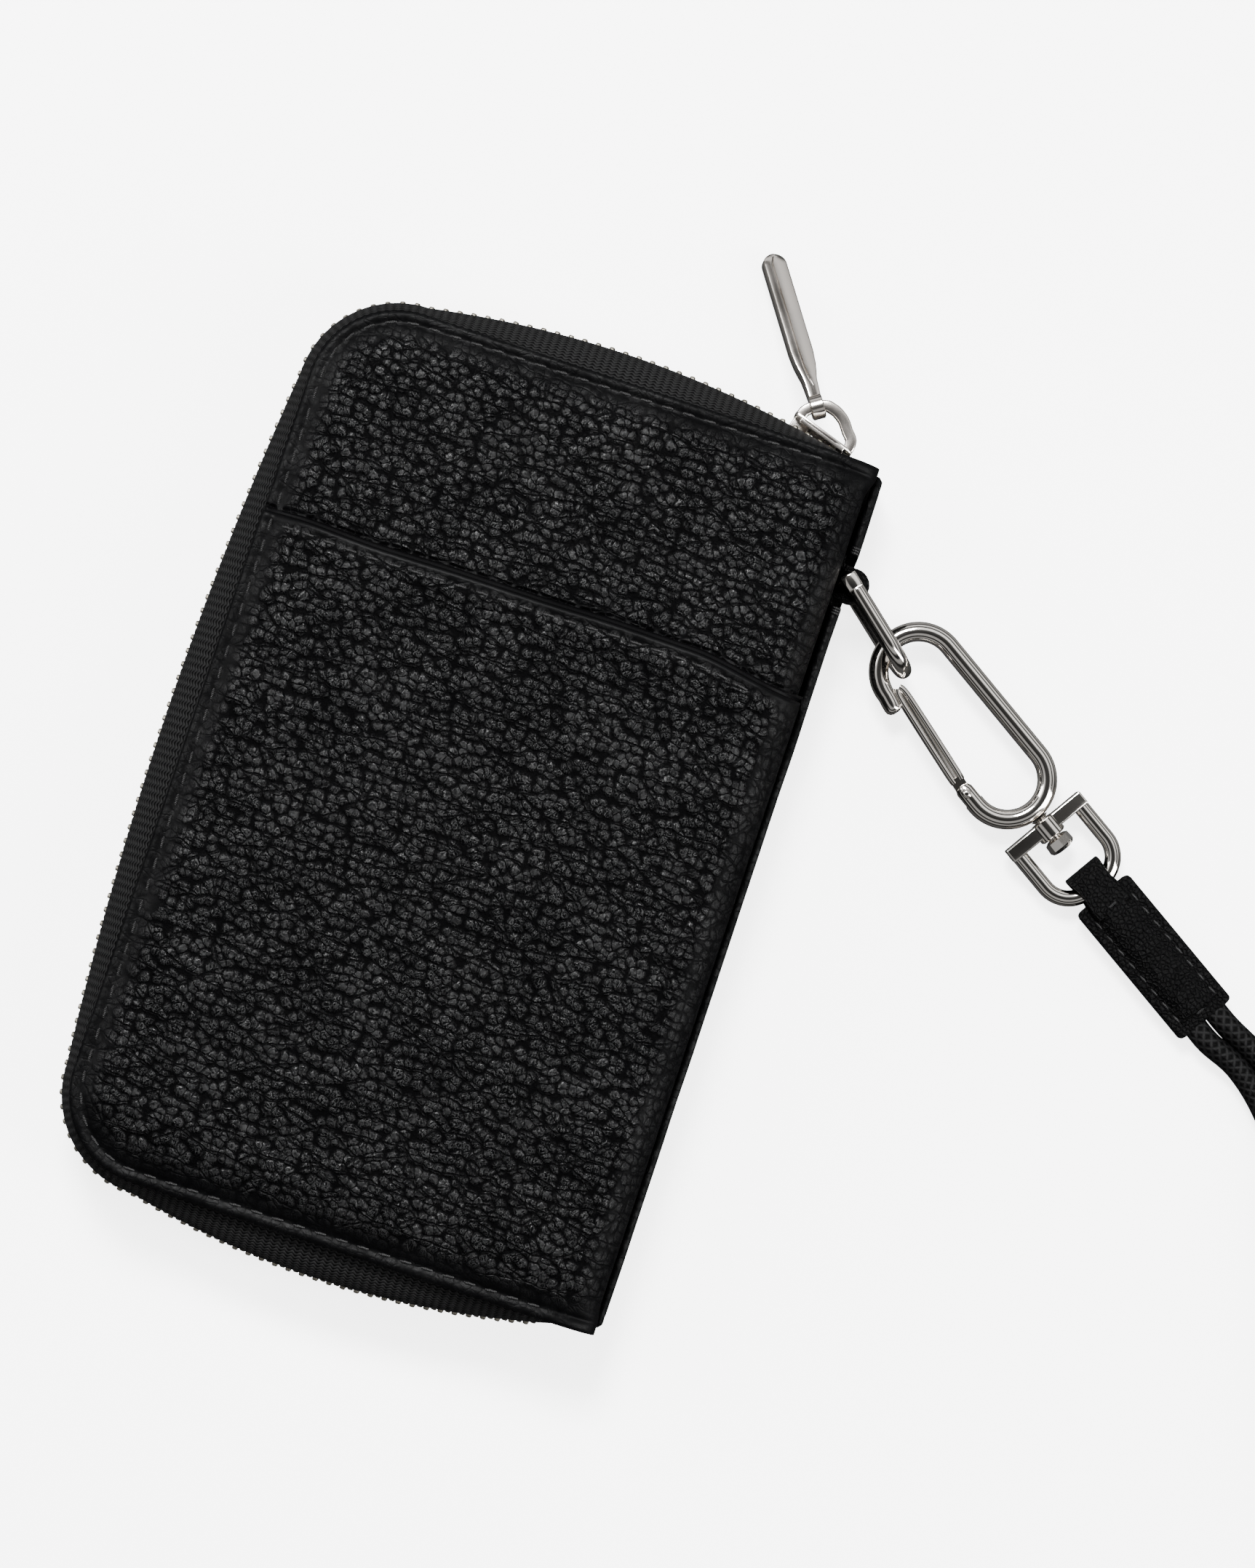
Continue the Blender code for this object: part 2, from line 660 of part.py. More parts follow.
def swivel_eye(look, frame):
    """The eye turns about its own X axis: a flat bar bored for the pin, and a round bow."""
    near = GAP
    bar_mid = near + EYE_BAR / 2
    end = near + EYE_LENGTH - EYE_WIRE_R
    half = EYE_HALF_WIDTH
    corner = EYE_CORNER_R
    path = [(bar_mid, -half)]
    path += arc((end - corner, -half + corner), corner, 270, 360, 8)
    path += arc((end - corner, half - corner), corner, 0, 90, 8)
    path += [(bar_mid, half)]
    eye = finish_mesh("swivel_eye", wire(path, EYE_WIRE_R, 10), look, frame, smooth=True)
    side = half + EYE_WIRE_R
    bar = box((near, -side, -1.7), (near + EYE_BAR, side, 1.7))
    combine(eye, cutter("eye_bar", bar, frame), "UNION")
    bore = drum((0, 0), SWIVEL_NECK_R + SWIVEL_CLEAR, -9, near + EYE_BAR + 3, "x")
    combine(eye, cutter("eye_bore", bore, frame), "DIFFERENCE")
    return eye


def swivel_pin(look, frame):
    """A headed pin fixed to the hook, through the eye's bar."""
    neck_end = GAP + EYE_BAR + 1.4
    pin = finish_mesh("swivel_pin", drum((0, 0), SWIVEL_NECK_R, 0.0, neck_end + 0.5, "x"), look, frame)
    head = drum((0, 0), SWIVEL_HEAD_R, neck_end, neck_end + SWIVEL_HEAD, "x")
    combine(pin, cutter("pin_head", head, frame), "UNION")
    return pin


# ---------------------------------------------------------------- connector and cord


def strap_tab(look, frame):
    """Leather folded round the eye's bow: a narrow loop, then the full width to the cords."""
    loop = STRAP_LOOP_WIDTH / 2
    wide = STRAP_WIDTH / 2
    shoulder = EYE_WIRE_R + 0.4
    outline = [
        (-STRAP_LOOP_REACH, -loop),
        (shoulder, -loop + 0.3),
        (shoulder + 0.3, -wide),
        (STRAP_LENGTH, -wide),
        (STRAP_LENGTH, wide),
        (shoulder + 0.3, wide),
        (shoulder, loop - 0.3),
        (-STRAP_LOOP_REACH, loop),
    ]
    half = STRAP_THICK / 2
    tab = finish_mesh("strap_tab", prism(outline, -half, half), look, frame)
    hole = drum((0, 0), STRAP_HOLE_R, -20, 20, "y")
    combine(tab, cutter("strap_hole", hole, frame), "DIFFERENCE")
    return tab


def cord_route(frame):
    """The route's own points, world millimetres: out of the tab's end, round the loop and back."""
    start = STRAP_LENGTH + GAP
    apart = CORD_R + 0.05
    exits = [Vector((start + ahead, side, 0)) for side in (-apart, apart) for ahead in (0, 3)]
    ends = [frame @ (place * MM) / MM for place in exits]
    lie = CORD_R + 0.05
    middle = [
        (136.6, 0.2, 2.4), (142.6, -4.6, lie), (148.0, -11.4, lie), (151.4, -20.4, lie),
        (156.5, -33.0, lie), (161.5, -48.0, lie), (168.0, -63.0, lie), (175.0, -76.0, lie),
        (183.0, -84.0, lie), (194.0, -83.5, lie), (200.4, -75.0, lie), (201.0, -61.0, lie),
        (196.0, -45.0, lie), (187.0, -29.0, lie), (175.0, -15.5, lie), (160.0, -5.6, lie),
        (146.4, -0.6, lie), (138.6, 3.6, 2.4),
    ]
    return [ends[0], ends[1], *[Vector(p) for p in middle], ends[3], ends[2]]


def smooth_curve(points, step):
    """Points about step apart on a Catmull-Rom curve through the route's points."""
    padded = [2 * points[0] - points[1], *points, 2 * points[-1] - points[-2]]
    found = []
    for a, b, c, d in zip(padded, padded[1:], padded[2:], padded[3:]):
        count = max(1, round((c - b).length / step))
        for k in range(count):
            t = k / count
            bend = (2 * a - 5 * b + 4 * c - d) * t**2 + (3 * b - a - 3 * c + d) * t**3
            found.append(0.5 * (2 * b + (c - a) * t + bend))
    return [*found, points[-1]]


def wrist_cord(look, frame):
    route = smooth_curve(cord_route(frame), 2.3 * CORD_R)
    data = bpy.data.curves.new("wrist_cord", "CURVE")
    data.dimensions = "3D"
    spline = data.splines.new("POLY")
    spline.points.add(len(route) - 1)
    for target, place in zip(spline.points, route):
        target.co = (*(place * MM), 1.0)
    data.bevel_depth = CORD_R * MM
    data.bevel_resolution = 2
    data.use_fill_caps = True
    data.materials.append(look)
    made = bpy.data.objects.new("wrist_cord", data)
    bpy.context.scene.collection.objects.link(made)
    return made


# ---------------------------------------------------------------- pieces inside


def card_leaves(look):
    """Stepped card slots on the back lining, each leaf shorter than the one under it."""
    right = HALF_W - 7.0
    base = INNER_BACK_Z + CARD_LEAF + GAP
    for number in range(CARD_LEAVES):
        low_z = base + number * (CARD_LEAF + GAP)
        left = CORNER_X + number * CARD_STEP
        low = (left, -CARD_WIDTH / 2, low_z)
        high = (right, CARD_WIDTH / 2, low_z + CARD_LEAF)
        finish_mesh(f"card_slot_{number + 1}", box(low, high), look)


def note_pocket(look):
    low = (CORNER_X + 2.0, -HALF_L + 11.5, INNER_BACK_Z)
    high = (HALF_W - 6.0, HALF_L - 11.5, INNER_BACK_Z + CARD_LEAF)
    return finish_mesh("note_pocket", box(low, high), look)


def phone_pocket(look):
    low = (CORNER_X + 12.0, -HALF_L + 11.5, INNER_FRONT_Z - CARD_LEAF)
    high = (HALF_W - 6.0, HALF_L - 11.5, INNER_FRONT_Z)
    return finish_mesh("phone_pocket", box(low, high), look)


def coin_divider(look):
    """The middle pocket: two leaves folded at the spine side, open towards the zip."""
    low_z = INNER_BACK_Z + (CARD_LEAVES + 1) * (CARD_LEAF + GAP)
    left = -HALF_W + 7.0
    right = HALF_W - 6.0
    top = low_z + 2 * DIVIDER_LEAF + DIVIDER_SPACE
    outline = [
        (left, low_z),
        (right, low_z),
        (right, top),
        (left, top),
        (left, top - DIVIDER_LEAF),
        (right - 2.0, top - DIVIDER_LEAF),
        (right - 2.0, low_z + DIVIDER_LEAF),
        (left, low_z + DIVIDER_LEAF),
    ]
    end = HALF_L - 13.0
    return finish_mesh("coin_divider", prism(outline, -end, end, "y"), look)


def gusset(name, y_side, look):
    """A pleated fan of lining between the covers at one short end."""
    folds = 5
    low_z = INNER_BACK_Z + 0.1
    high_z = INNER_FRONT_Z - 0.1
    front, back = [], []
    for step in range(folds + 1):
        z = low_z + (high_z - low_z) * step / folds
        y = HALF_L - 7.0 - (3.0 if step % 2 else 0.0)
        front.append((y_side * y, z))
        back.append((y_side * (y - 0.5), z))
    outline = front + list(reversed(back))
    return finish_mesh(name, prism(outline, -12.0, HALF_W - 8.0, "x"), look)


# ---------------------------------------------------------------- assembly


def clear_scene():
    for old in list(bpy.data.objects):
        bpy.data.objects.remove(old)


def make_materials():
    return {
        "leather": material("leather", (0.012, 0.012, 0.013), 0.42),
        "lining": material("lining", (0.02, 0.02, 0.022), 0.8),
        "board": material("board", (0.25, 0.2, 0.15), 0.9),
        "foam": material("foam", (0.5, 0.5, 0.48), 0.95),
        "tape": material("tape", (0.015, 0.015, 0.016), 0.75),
        "metal": material("metal", (0.62, 0.6, 0.58), 0.18, 1.0),
        "cord": material("cord", (0.01, 0.01, 0.01), 0.6),
        "helper": material("helper", (0.8, 0.2, 0.2), 0.5),
    }


def build_covers(look):
    right = HALF_W - SPINE_WALL - 2.6 - GAP
    flat_sheet("back_panel", 0.0, right, 0.0, LEATHER, look["leather"])
    board_z = LEATHER + GAP
    flat_sheet("back_board", BOARD_INSET, right - 1.0, board_z, board_z + BOARD, look["board"])
    flat_sheet("back_lining", 1.2, right, BACK_LINING_Z, BACK_LINING_Z + LINING, look["lining"])
    board_right = ROLL_X - ROLL_RUN - 2.0
    board_z = FRONT_EDGE_Z - GAP
    flat_sheet("front_board", BOARD_INSET, board_right, board_z - BOARD, board_z, look["board"])
    flat_sheet("front_lining", 1.2, board_right, FRONT_LINING_Z, FRONT_LINING_Z + LINING, look["lining"])
    front_leather(look["leather"])
    front_pocket(look["leather"])
    front_padding(look["foam"])
    spine_panel(look["leather"])
    spine_lining(look["lining"])


def build_inside(look):
    note_pocket(look["leather"])
    card_leaves(look["leather"])
    coin_divider(look["leather"])
    phone_pocket(look["lining"])
    gusset("gusset_top", 1, look["lining"])
    gusset("gusset_bottom", -1, look["lining"])


def build_zip(look):
    zip_tape("zip_tape_back", BACK_TAPE_Z, -1, look["tape"])
    zip_tape("zip_tape_front", FRONT_TAPE_Z, 1, look["tape"])
    zip_teeth("zip_teeth_back", -1, row_stations(ZIP_END_X - GAP), look["metal"])
    front_start = SLIDER_X - SLIDER_LENGTH / 2 - 1.0
    zip_teeth("zip_teeth_front", 1, row_stations(front_start), look["metal"])
    zip_stop("top_stop_back", -1, 1, look["metal"])
    zip_stop("top_stop_front", 1, 1, look["metal"])
    zip_stop("end_stop", -1, -1, look["metal"])
    angle = math.asin(SLIDER_X / TRACK_R)
    place = (SLIDER_X, TRACK_Y + TRACK_R * math.cos(angle), ZIP_Z)
    slider = empty("slider_frame", place, (0, 0, -angle + SLIDER_YAW))
    slider_body(look["metal"], slider)
    slider_bail(look["metal"], slider)
    foot = SLIDER_SLOT / 2 + SLIDER_PLATE + GAP
    shoulder = (-SLIDER_LENGTH / 2 + BAIL_WIRE_R + 1.3, foot + 2.6, 0.0)
    turn = (0, PULLER_DROOP, PULLER_HEADING + angle - SLIDER_YAW)
    zip_puller(look["metal"], empty("puller_frame", shoulder, turn, slider))


def build_chain(look):
    ring_x = HALF_W + 0.5
    ring_y = HALF_L - RING_FROM_END
    ring_tab(look["leather"], ring_x, ring_y)
    ring = empty("ring_frame", (ring_x, ring_y, RING_Z), (0, 0, RING_HEADING))
    d_ring(look["metal"], ring)
    drop = HOOK_REST_Z - STRAP_REST_Z
    reach = HOOK_LENGTH + HOOK_WIRE_R + GAP + EYE_LENGTH
    pitch = math.asin(drop / reach)
    seat = (HOOK_ON_RING, 0.0, HOOK_REST_Z - RING_Z)
    hook = empty("hook_frame", seat, (0, pitch, HOOK_HEADING - RING_HEADING), ring)
    snap_hook(look["metal"], hook)
    gate_pin(look["metal"], hook)
    lean = math.asin(GATE_LEAN / GATE_LENGTH)
    gate = empty("gate_frame", (*hook_pivot(), 0.0), (0, 0, -lean), hook)
    hook_gate(look["metal"], gate)
    gate_spring(look["metal"], gate)
    swivel = empty("swivel_frame", (HOOK_LENGTH + HOOK_WIRE_R + GAP, HOOK_OFFSET, 0.0), (0, 0, 0), hook)
    swivel_pin(look["metal"], swivel)
    swivel_eye(look["metal"], swivel)
    bow = (GAP + EYE_LENGTH - EYE_WIRE_R, 0.0, 0.0)
    strap = empty("strap_frame", bow, (0, -pitch, 0), swivel)
    strap_tab(look["leather"], strap)
    bpy.context.view_layer.update()
    wrist_cord(look["cord"], strap.matrix_world)


def main():
    clear_scene()
    look = make_materials()
    build_covers(look)
    build_inside(look)
    build_zip(look)
    build_chain(look)
    bpy.context.view_layer.update()


main()
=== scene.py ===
"""Looks of a zip-around wristlet wallet with a wrist cord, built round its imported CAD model.

Sizes are in millimetres and are scaled to metres when a mesh is made. +Z is up through the
thickness, +Y runs along the spine towards the parked slider, +X points out of the spine.
"""

import json
import math

import bpy
import numpy as np
from mathutils import Matrix, Vector


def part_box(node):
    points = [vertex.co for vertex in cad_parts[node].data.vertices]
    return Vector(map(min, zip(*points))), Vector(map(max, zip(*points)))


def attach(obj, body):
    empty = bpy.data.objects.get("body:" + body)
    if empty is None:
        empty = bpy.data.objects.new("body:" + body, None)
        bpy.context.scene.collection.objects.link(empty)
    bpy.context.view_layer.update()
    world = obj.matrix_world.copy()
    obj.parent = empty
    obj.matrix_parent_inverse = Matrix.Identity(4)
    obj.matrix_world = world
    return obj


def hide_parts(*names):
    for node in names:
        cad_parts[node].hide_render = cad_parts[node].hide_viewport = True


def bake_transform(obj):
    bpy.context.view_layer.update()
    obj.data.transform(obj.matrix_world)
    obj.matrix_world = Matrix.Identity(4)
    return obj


MM = 0.001
FLOOR_GLOW = 3.6

# Sizes of the closed wallet that the CAD model is built to.
CORNER_R = 15.0
FRONT_EDGE_Z = 19.6
EDGE_HEIGHT = 1.2
CROWN = 2.1
SPINE_WALL = 1.7
SPINE_TOP_Z = 14.3
ROLL_X = 45.4
ROLL_START = 38.4
ROLL_LOW_Z = 15.5
ROLL_FOOT_Z = 14.9
POCKET_TOP = 36.6
POCKET_LIFT = 1.5

# Seams.
STITCH_INSET = 1.95
STITCH_PITCH = 3.7
STITCH_LENGTH = 2.5
THREAD_R = 0.26

# Zip.
ZIP_Z = 10.55
ZIP_END_X = 41.0
TAPE_END_X = 43.0
BULGE_TOP = 4.8
BULGE_SIDE = 4.8
BULGE_BOTTOM = 5.6
BULGE_CORNER = 1.8
TAPE_TUCK = 2.8
TAPE_STRAIGHT = 4.4
TAPE = 0.6
LEAF_CORNER = 2.0
TOOTH_PITCH = 2.4
BACK_TAPE_Z = 2.1
FRONT_TAPE_Z = 19.0
SLIDER_LENGTH = 11.6
SLIDER_HALF_HEIGHT = 3.8
SLIDER_INNER = 1.71
SLIDER_PLATE = 0.7
SLIDER_YAW = math.radians(-6.0)
BAIL_WIRE_R = 0.95
BAIL_RISE = 3.9
PULLER_LENGTH = 28.8
PULLER_HALF_WIDTH = 2.1
PULLER_HALF_THICK = 1.0
PULLER_EYE_HOLE = 1.2
BAR_ROUND = 0.32
GROOVE_HALF = 0.12
GROOVE_LIP = 0.07
PULLER_DROOP = math.radians(19.0)

# Ring, hook, swivel and strap.
RING_WIRE_R = 1.45
RING_HEIGHT = 14.0
RING_LENGTH = 19.5
RING_HEADING = math.radians(-40.0)
TAB_R = 2.9
TAB_HOLE_R = 1.7
HOOK_WIRE_R = 1.7
HOOK_HALF_WIDTH = 6.8
HOOK_LENGTH = 37.3
HOOK_OFFSET = 1.4
HOOK_PAST_GATE = 17.9
GATE_RAIL_R = 0.62
GATE_LENGTH = HOOK_LENGTH - HOOK_PAST_GATE
GATE_LEAN = 2.3
PIVOT_FROM_END = 9.4
EYE_WIRE_R = 1.4
EYE_HALF_WIDTH = 6.7
EYE_BAR = 2.6
EYE_LENGTH = 15.7
EYE_CORNER_R = 5.2
EYE_GAP = 0.3
STRAP_HALF_WIDTH = 5.6
STRAP_LOOP_HALF = 3.5
STRAP_LENGTH = 29.4
STRAP_HALF_THICK = 2.95
CORD_R = 2.1
CORD_LIE = 2.15

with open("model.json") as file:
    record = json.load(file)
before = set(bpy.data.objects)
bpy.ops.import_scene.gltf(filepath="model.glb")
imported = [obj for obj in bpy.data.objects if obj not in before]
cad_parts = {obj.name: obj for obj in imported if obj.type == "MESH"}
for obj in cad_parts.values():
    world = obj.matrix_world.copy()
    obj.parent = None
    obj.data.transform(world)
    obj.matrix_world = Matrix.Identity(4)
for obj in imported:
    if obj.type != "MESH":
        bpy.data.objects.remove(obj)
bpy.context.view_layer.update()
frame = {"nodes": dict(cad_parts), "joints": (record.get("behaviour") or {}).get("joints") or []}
joints = {joint["name"]: joint for joint in frame["joints"]}
nodes = frame["nodes"]


def box_mm(node):
    low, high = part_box(node)
    return Vector(low) / MM, Vector(high) / MM


HALF_L = box_mm("back_panel")[1].y
HALF_W = box_mm("spine_panel")[1].x
CORNER_X = -HALF_W + CORNER_R
CORNER_Y = HALF_L - CORNER_R


# ---------------------------------------------------------------- frames of the moving parts


def joint_place(name):
    return Vector(joints[name]["pos_m"]) / MM


def joint_axis(name):
    return Vector(joints[name]["axis"]).normalized()


def axes_matrix(place, x_axis, z_axis):
    """A right-handed frame at place with the given X and Z axes."""
    y_axis = z_axis.cross(x_axis)
    made = Matrix((x_axis, y_axis, z_axis)).transposed().to_4x4()
    made.translation = place
    return made


UP = Vector((0, 0, 1))
ring_frame = axes_matrix(
    joint_place("ring_swing"), Vector((math.cos(RING_HEADING), math.sin(RING_HEADING), 0)), UP
)
hook_z = -joint_axis("gate_open")
hook_frame = axes_matrix(joint_place("hook_lift"), joint_axis("swivel_spin"), hook_z)
gate_frame = axes_matrix(joint_place("gate_open"), joint_axis("swivel_spin"), hook_z)
gate_frame = gate_frame @ Matrix.Rotation(-math.asin(GATE_LEAN / GATE_LENGTH), 4, "Z")
swivel_frame = axes_matrix(joint_place("swivel_spin"), joint_axis("swivel_spin"), hook_z)
strap_y = -joint_axis("strap_swing")
strap_frame = axes_matrix(joint_place("strap_swing"), strap_y.cross(UP), UP)
track_centre = joint_place("slider_travel")
slider_centre = (box_mm("slider_body")[0] + box_mm("slider_body")[1]) / 2
slider_angle = math.atan2(slider_centre.x, slider_centre.y - track_centre.y)
slider_frame = Matrix.Translation(slider_centre) @ Matrix.Rotation(SLIDER_YAW - slider_angle, 4, "Z")
puller_y = -joint_axis("puller_swing")
puller_flat = puller_y.cross(UP)
puller_x = puller_flat * math.cos(PULLER_DROOP) - UP * math.sin(PULLER_DROOP)
puller_frame = axes_matrix(joint_place("puller_swing"), puller_x, puller_x.cross(puller_y))


# ---------------------------------------------------------------- camera and cord


def make_camera():
    data = bpy.data.cameras.new("camera")
    data.lens = 100.9
    data.sensor_width = 36.0
    data.clip_end = 20.0
    made = bpy.data.objects.new("camera", data)
    made.location = (0.0321, -0.013, 0.7495)
    made.rotation_euler = (math.radians(2.11), 0.0, math.radians(18.47))
    bpy.context.scene.collection.objects.link(made)
    bpy.context.scene.camera = made


def smooth_curve(points, step):
    """Points about step apart on a Catmull-Rom curve through the given points."""
    padded = [2 * points[0] - points[1], *points, 2 * points[-1] - points[-2]]
    found = []
    for a, b, c, d in zip(padded, padded[1:], padded[2:], padded[3:]):
        count = max(1, round((c - b).length / step))
        for k in range(count):
            t = k / count
            bend = (2 * a - 5 * b + 4 * c - d) * t**2 + (3 * b - a - 3 * c + d) * t**3
            found.append(0.5 * (2 * b + (c - a) * t + bend))
    return [*found, points[-1]]


def cord_route():
    """The wrist loop: out of the connector, once round on the floor and back into it."""
    start = STRAP_LENGTH - 1.2
    apart = CORD_R + 0.05
    exits = [strap_frame @ Vector((start + ahead, side, 0)) for side in (-apart, apart) for ahead in (0, 4.5)]
    lie = CORD_LIE
    loop = [
        (136.6, 0.2, 2.4), (142.6, -4.6, lie), (148.0, -11.4, lie), (151.4, -20.4, lie),
        (156.5, -33.0, lie), (161.5, -48.0, lie), (168.0, -63.0, lie), (175.0, -76.0, lie),
        (183.0, -84.0, lie), (194.0, -83.5, lie), (200.4, -75.0, lie), (201.0, -61.0, lie),
        (196.0, -45.0, lie), (187.0, -29.0, lie), (175.0, -15.5, lie), (160.0, -5.6, lie),
        (146.4, -0.6, lie), (138.6, 3.6, 2.4),
    ]
    return [exits[0], exits[1], *[Vector(p) for p in loop], exits[3], exits[2]]


# ---------------------------------------------------------------- shader helpers


class Shader:
    """One material's nodes, under short names. Places are in the piece's own millimetres."""

    def __init__(self, name=None, tree=None):
        if name:
            self.made = bpy.data.materials.new(name)
            self.made.use_nodes = True
            tree = self.made.node_tree
            self.surface = tree.nodes["Principled BSDF"]
        self.tree = tree

    def feed(self, socket, value):
        if isinstance(value, bpy.types.NodeSocket):
            self.tree.links.new(value, socket)
        else:
            socket.default_value = value

    def set(self, **inputs):
        """Feeds the surface's inputs, each by its name with _ for a space."""
        for key, value in inputs.items():
            self.feed(self.surface.inputs[key.replace("_", " ")], value)

    def node(self, kind, settings=None, **inputs):
        """A node with its settings and its inputs, each a value or another node's output."""
        made = self.tree.nodes.new("ShaderNode" + kind)
        for key, value in (settings or {}).items():
            setattr(made, key, value)
        for key, value in inputs.items():
            self.feed(made.inputs[key.replace("_", " ")], value)
        return made

    def calc(self, operation, *values):
        made = self.node("Math", {"operation": operation})
        for socket, value in zip(made.inputs, values):
            self.feed(socket, value)
        return made.outputs[0]

    def times(self, a, b):
        return self.calc("MULTIPLY", a, b)

    def scaled(self, value, factor, more):
        """value * factor + more"""
        return self.calc("MULTIPLY_ADD", value, factor, more)

    def minus(self, a, b):
        return self.calc("SUBTRACT", a, b)

    def remap(self, value, low, high, to_low, to_high):
        """value from low..high taken smoothly to to_low..to_high, held at both ends."""
        made = self.node("MapRange", {"interpolation_type": "SMOOTHSTEP"})
        for socket, number in zip(made.inputs, (value, low, high, to_low, to_high)):
            self.feed(socket, number)
        return made.outputs["Result"]

    def blend(self, factor, first, second):
        made = self.node("Mix", {"data_type": "RGBA"}, Factor=factor, A=(*first, 1.0), B=(*second, 1.0))
        return made.outputs["Result"]

    def flat(self):
        return self.node("UVMap", {"uv_map": "mm"}).outputs["UV"]

    def apart(self, vector):
        return self.node("SeparateXYZ", None, Vector=vector).outputs

    def solid_noise(self, scale, detail):
        place = self.node("TexCoord").outputs["Object"]
        return self.node("TexNoise", None, Vector=place, Scale=scale, Detail=detail).outputs["Fac"]

    def noise(self, place, scale, detail=2.0, roughness=0.5):
        settings = {"noise_dimensions": "2D"}
        sizes = {"Scale": scale, "Detail": detail, "Roughness": roughness}
        return self.node("TexNoise", settings, Vector=place, **sizes).outputs

    def voronoi(self, place, scale, feature="DISTANCE_TO_EDGE", randomness=1.0):
        settings = {"voronoi_dimensions": "2D", "feature": feature}
        made = self.node("TexVoronoi", settings, Vector=place, Scale=scale, Randomness=randomness)
        return made.outputs["Distance"]

    def bump(self, height, depth_mm):
        made = self.node("Bump", None, Strength=1.0, Distance=depth_mm * MM, Height=height)
        self.set(Normal=made.outputs["Normal"])


# ---------------------------------------------------------------- materials


def pebbled_leather(name, cell=1.65, depth=0.42):
    """Black tumbled leather: rounded pebbles between creases darkened by painted shade, glossier on the
    pebbles' tops and painted lighter there as a painted highlight.
    """
    s = Shader(name)
    flat = s.flat()
    moved = s.node("VectorMath", {"operation": "MULTIPLY_ADD"})
    for socket, value in zip(moved.inputs, (s.noise(flat, 0.33)["Color"], (1.3, 1.3, 0.0), flat)):
        s.feed(socket, value)
    place = moved.outputs["Vector"]
    edge = s.voronoi(place, 1 / cell, randomness=0.75)
    dome = s.voronoi(place, 1 / cell, "F1", 0.75)
    drawn = s.node("Mapping", None, Vector=place, Rotation=(0, 0, 0.5), Scale=(0.4, 1.0, 1.0))
    long_edge = s.voronoi(drawn.outputs["Vector"], 0.45 / cell)
    wrinkle = s.noise(place, 2.2, 3.0, 0.6)["Fac"]
    ridge = s.remap(s.calc("ABSOLUTE", s.minus(wrinkle, 0.5)), 0.0, 0.09, 1.0, 0.0)
    peak = s.remap(s.times(dome, dome), 0.0, 0.5, 1.0, 0.0)
    cracks = s.times(s.remap(edge, 0.0, 0.06, 0.3, 1.0), s.remap(long_edge, 0.0, 0.06, 0.25, 1.0))
    pebble = s.times(peak, cracks)
    # This attribute holds how strongly the pebbles stand up, and below zero a painted shade.
    mask = s.node("Attribute", {"attribute_name": "grain_and_shade"}).outputs["Fac"]
    raised = s.times(s.scaled(ridge, 0.1, pebble), mask)
    s.bump(s.scaled(s.noise(flat, 8.0, 2.0)["Fac"], 0.03, raised), depth)
    patches = s.remap(s.noise(flat, 0.09, 2.0)["Fac"], 0.3, 0.7, 0.75, 1.15)
    # Painted highlight and painted shade: glints and level make the base colour lighter on the pebbles' tops
    # and wrinkle ridges and darker in the creases, as well as setting the gloss.
    glints = s.times(pebble, s.scaled(ridge, 1.0, 0.12))
    level = s.scaled(glints, mask, s.scaled(mask, -0.15, 0.15))
    s.set(
        Roughness=s.remap(raised, 0.1, 0.9, 0.45, 0.27),
        Specular_IOR_Level=s.times(s.remap(level, 0.0, 0.9, 0.015, 0.4), patches),
        Base_Color=s.blend(level, (0.0006, 0.0006, 0.0007), (0.0024, 0.0025, 0.0027)),
    )
    return s.made


def smooth_leather(name, tone, depth=0.12, shine=0.3):
    """Lightly grained leather for linings, tabs and cut edges."""
    s = Shader(name)
    flat = s.flat()
    fine = s.noise(flat, 2.6, 5.0, 0.65)["Fac"]
    height = s.scaled(fine, 0.9, s.remap(s.voronoi(flat, 1.3), 0.0, 0.25, 0.0, 0.6))
    s.bump(height, depth)
    s.set(
        Roughness=s.remap(fine, 0.3, 0.7, 0.34, 0.5),
        Specular_IOR_Level=s.remap(height, 0.2, 1.0, shine * 0.3, shine),
        Base_Color=s.blend(fine, tuple(c * 0.6 for c in tone), tone),
    )
    return s.made


def woven(name, tone, across, along, depth):
    """Plain weave: two crossing waves, so many to a millimetre."""
    s = Shader(name)
    place = s.flat()
    parts = s.apart(place)
    ribs = s.calc("SINE", s.times(parts["X"], 2 * math.pi * along))
    slant = s.scaled(ribs, 0.8, s.times(parts["Y"], 2 * math.pi * across))
    weave = s.scaled(ribs, 0.3, s.calc("ABSOLUTE", s.calc("SINE", slant)))
    height = s.scaled(s.noise(place, 6.0, 3.0)["Fac"], 0.4, weave)
    s.bump(height, depth)
    # Painted shade: the colour is darker where the weave dips between its threads.
    s.set(
        Base_Color=s.blend(s.remap(height, 0.1, 1.2, 0.0, 1.0), tuple(c * 0.45 for c in tone), tone),
        Specular_IOR_Level=s.remap(height, 0.1, 1.2, 0.02, 0.2), Roughness=0.75,
    )
    return s.made


def thread(name):
    """Waxed sewing thread with a twist."""
    s = Shader(name)
    parts = s.apart(s.flat())
    plies = s.calc("ABSOLUTE", s.calc("SINE", s.scaled(parts["X"], 2 * math.pi * 1.6, parts["Y"])))
    s.bump(plies, 0.08)
    # Painted shade: the thread is darker in the grooves between its plies.
    tone = s.blend(plies, (0.0004, 0.0004, 0.0004), (0.0035, 0.0035, 0.0037))
    s.set(Base_Color=tone, Roughness=0.45, Specular_IOR_Level=0.25)
    return s.made


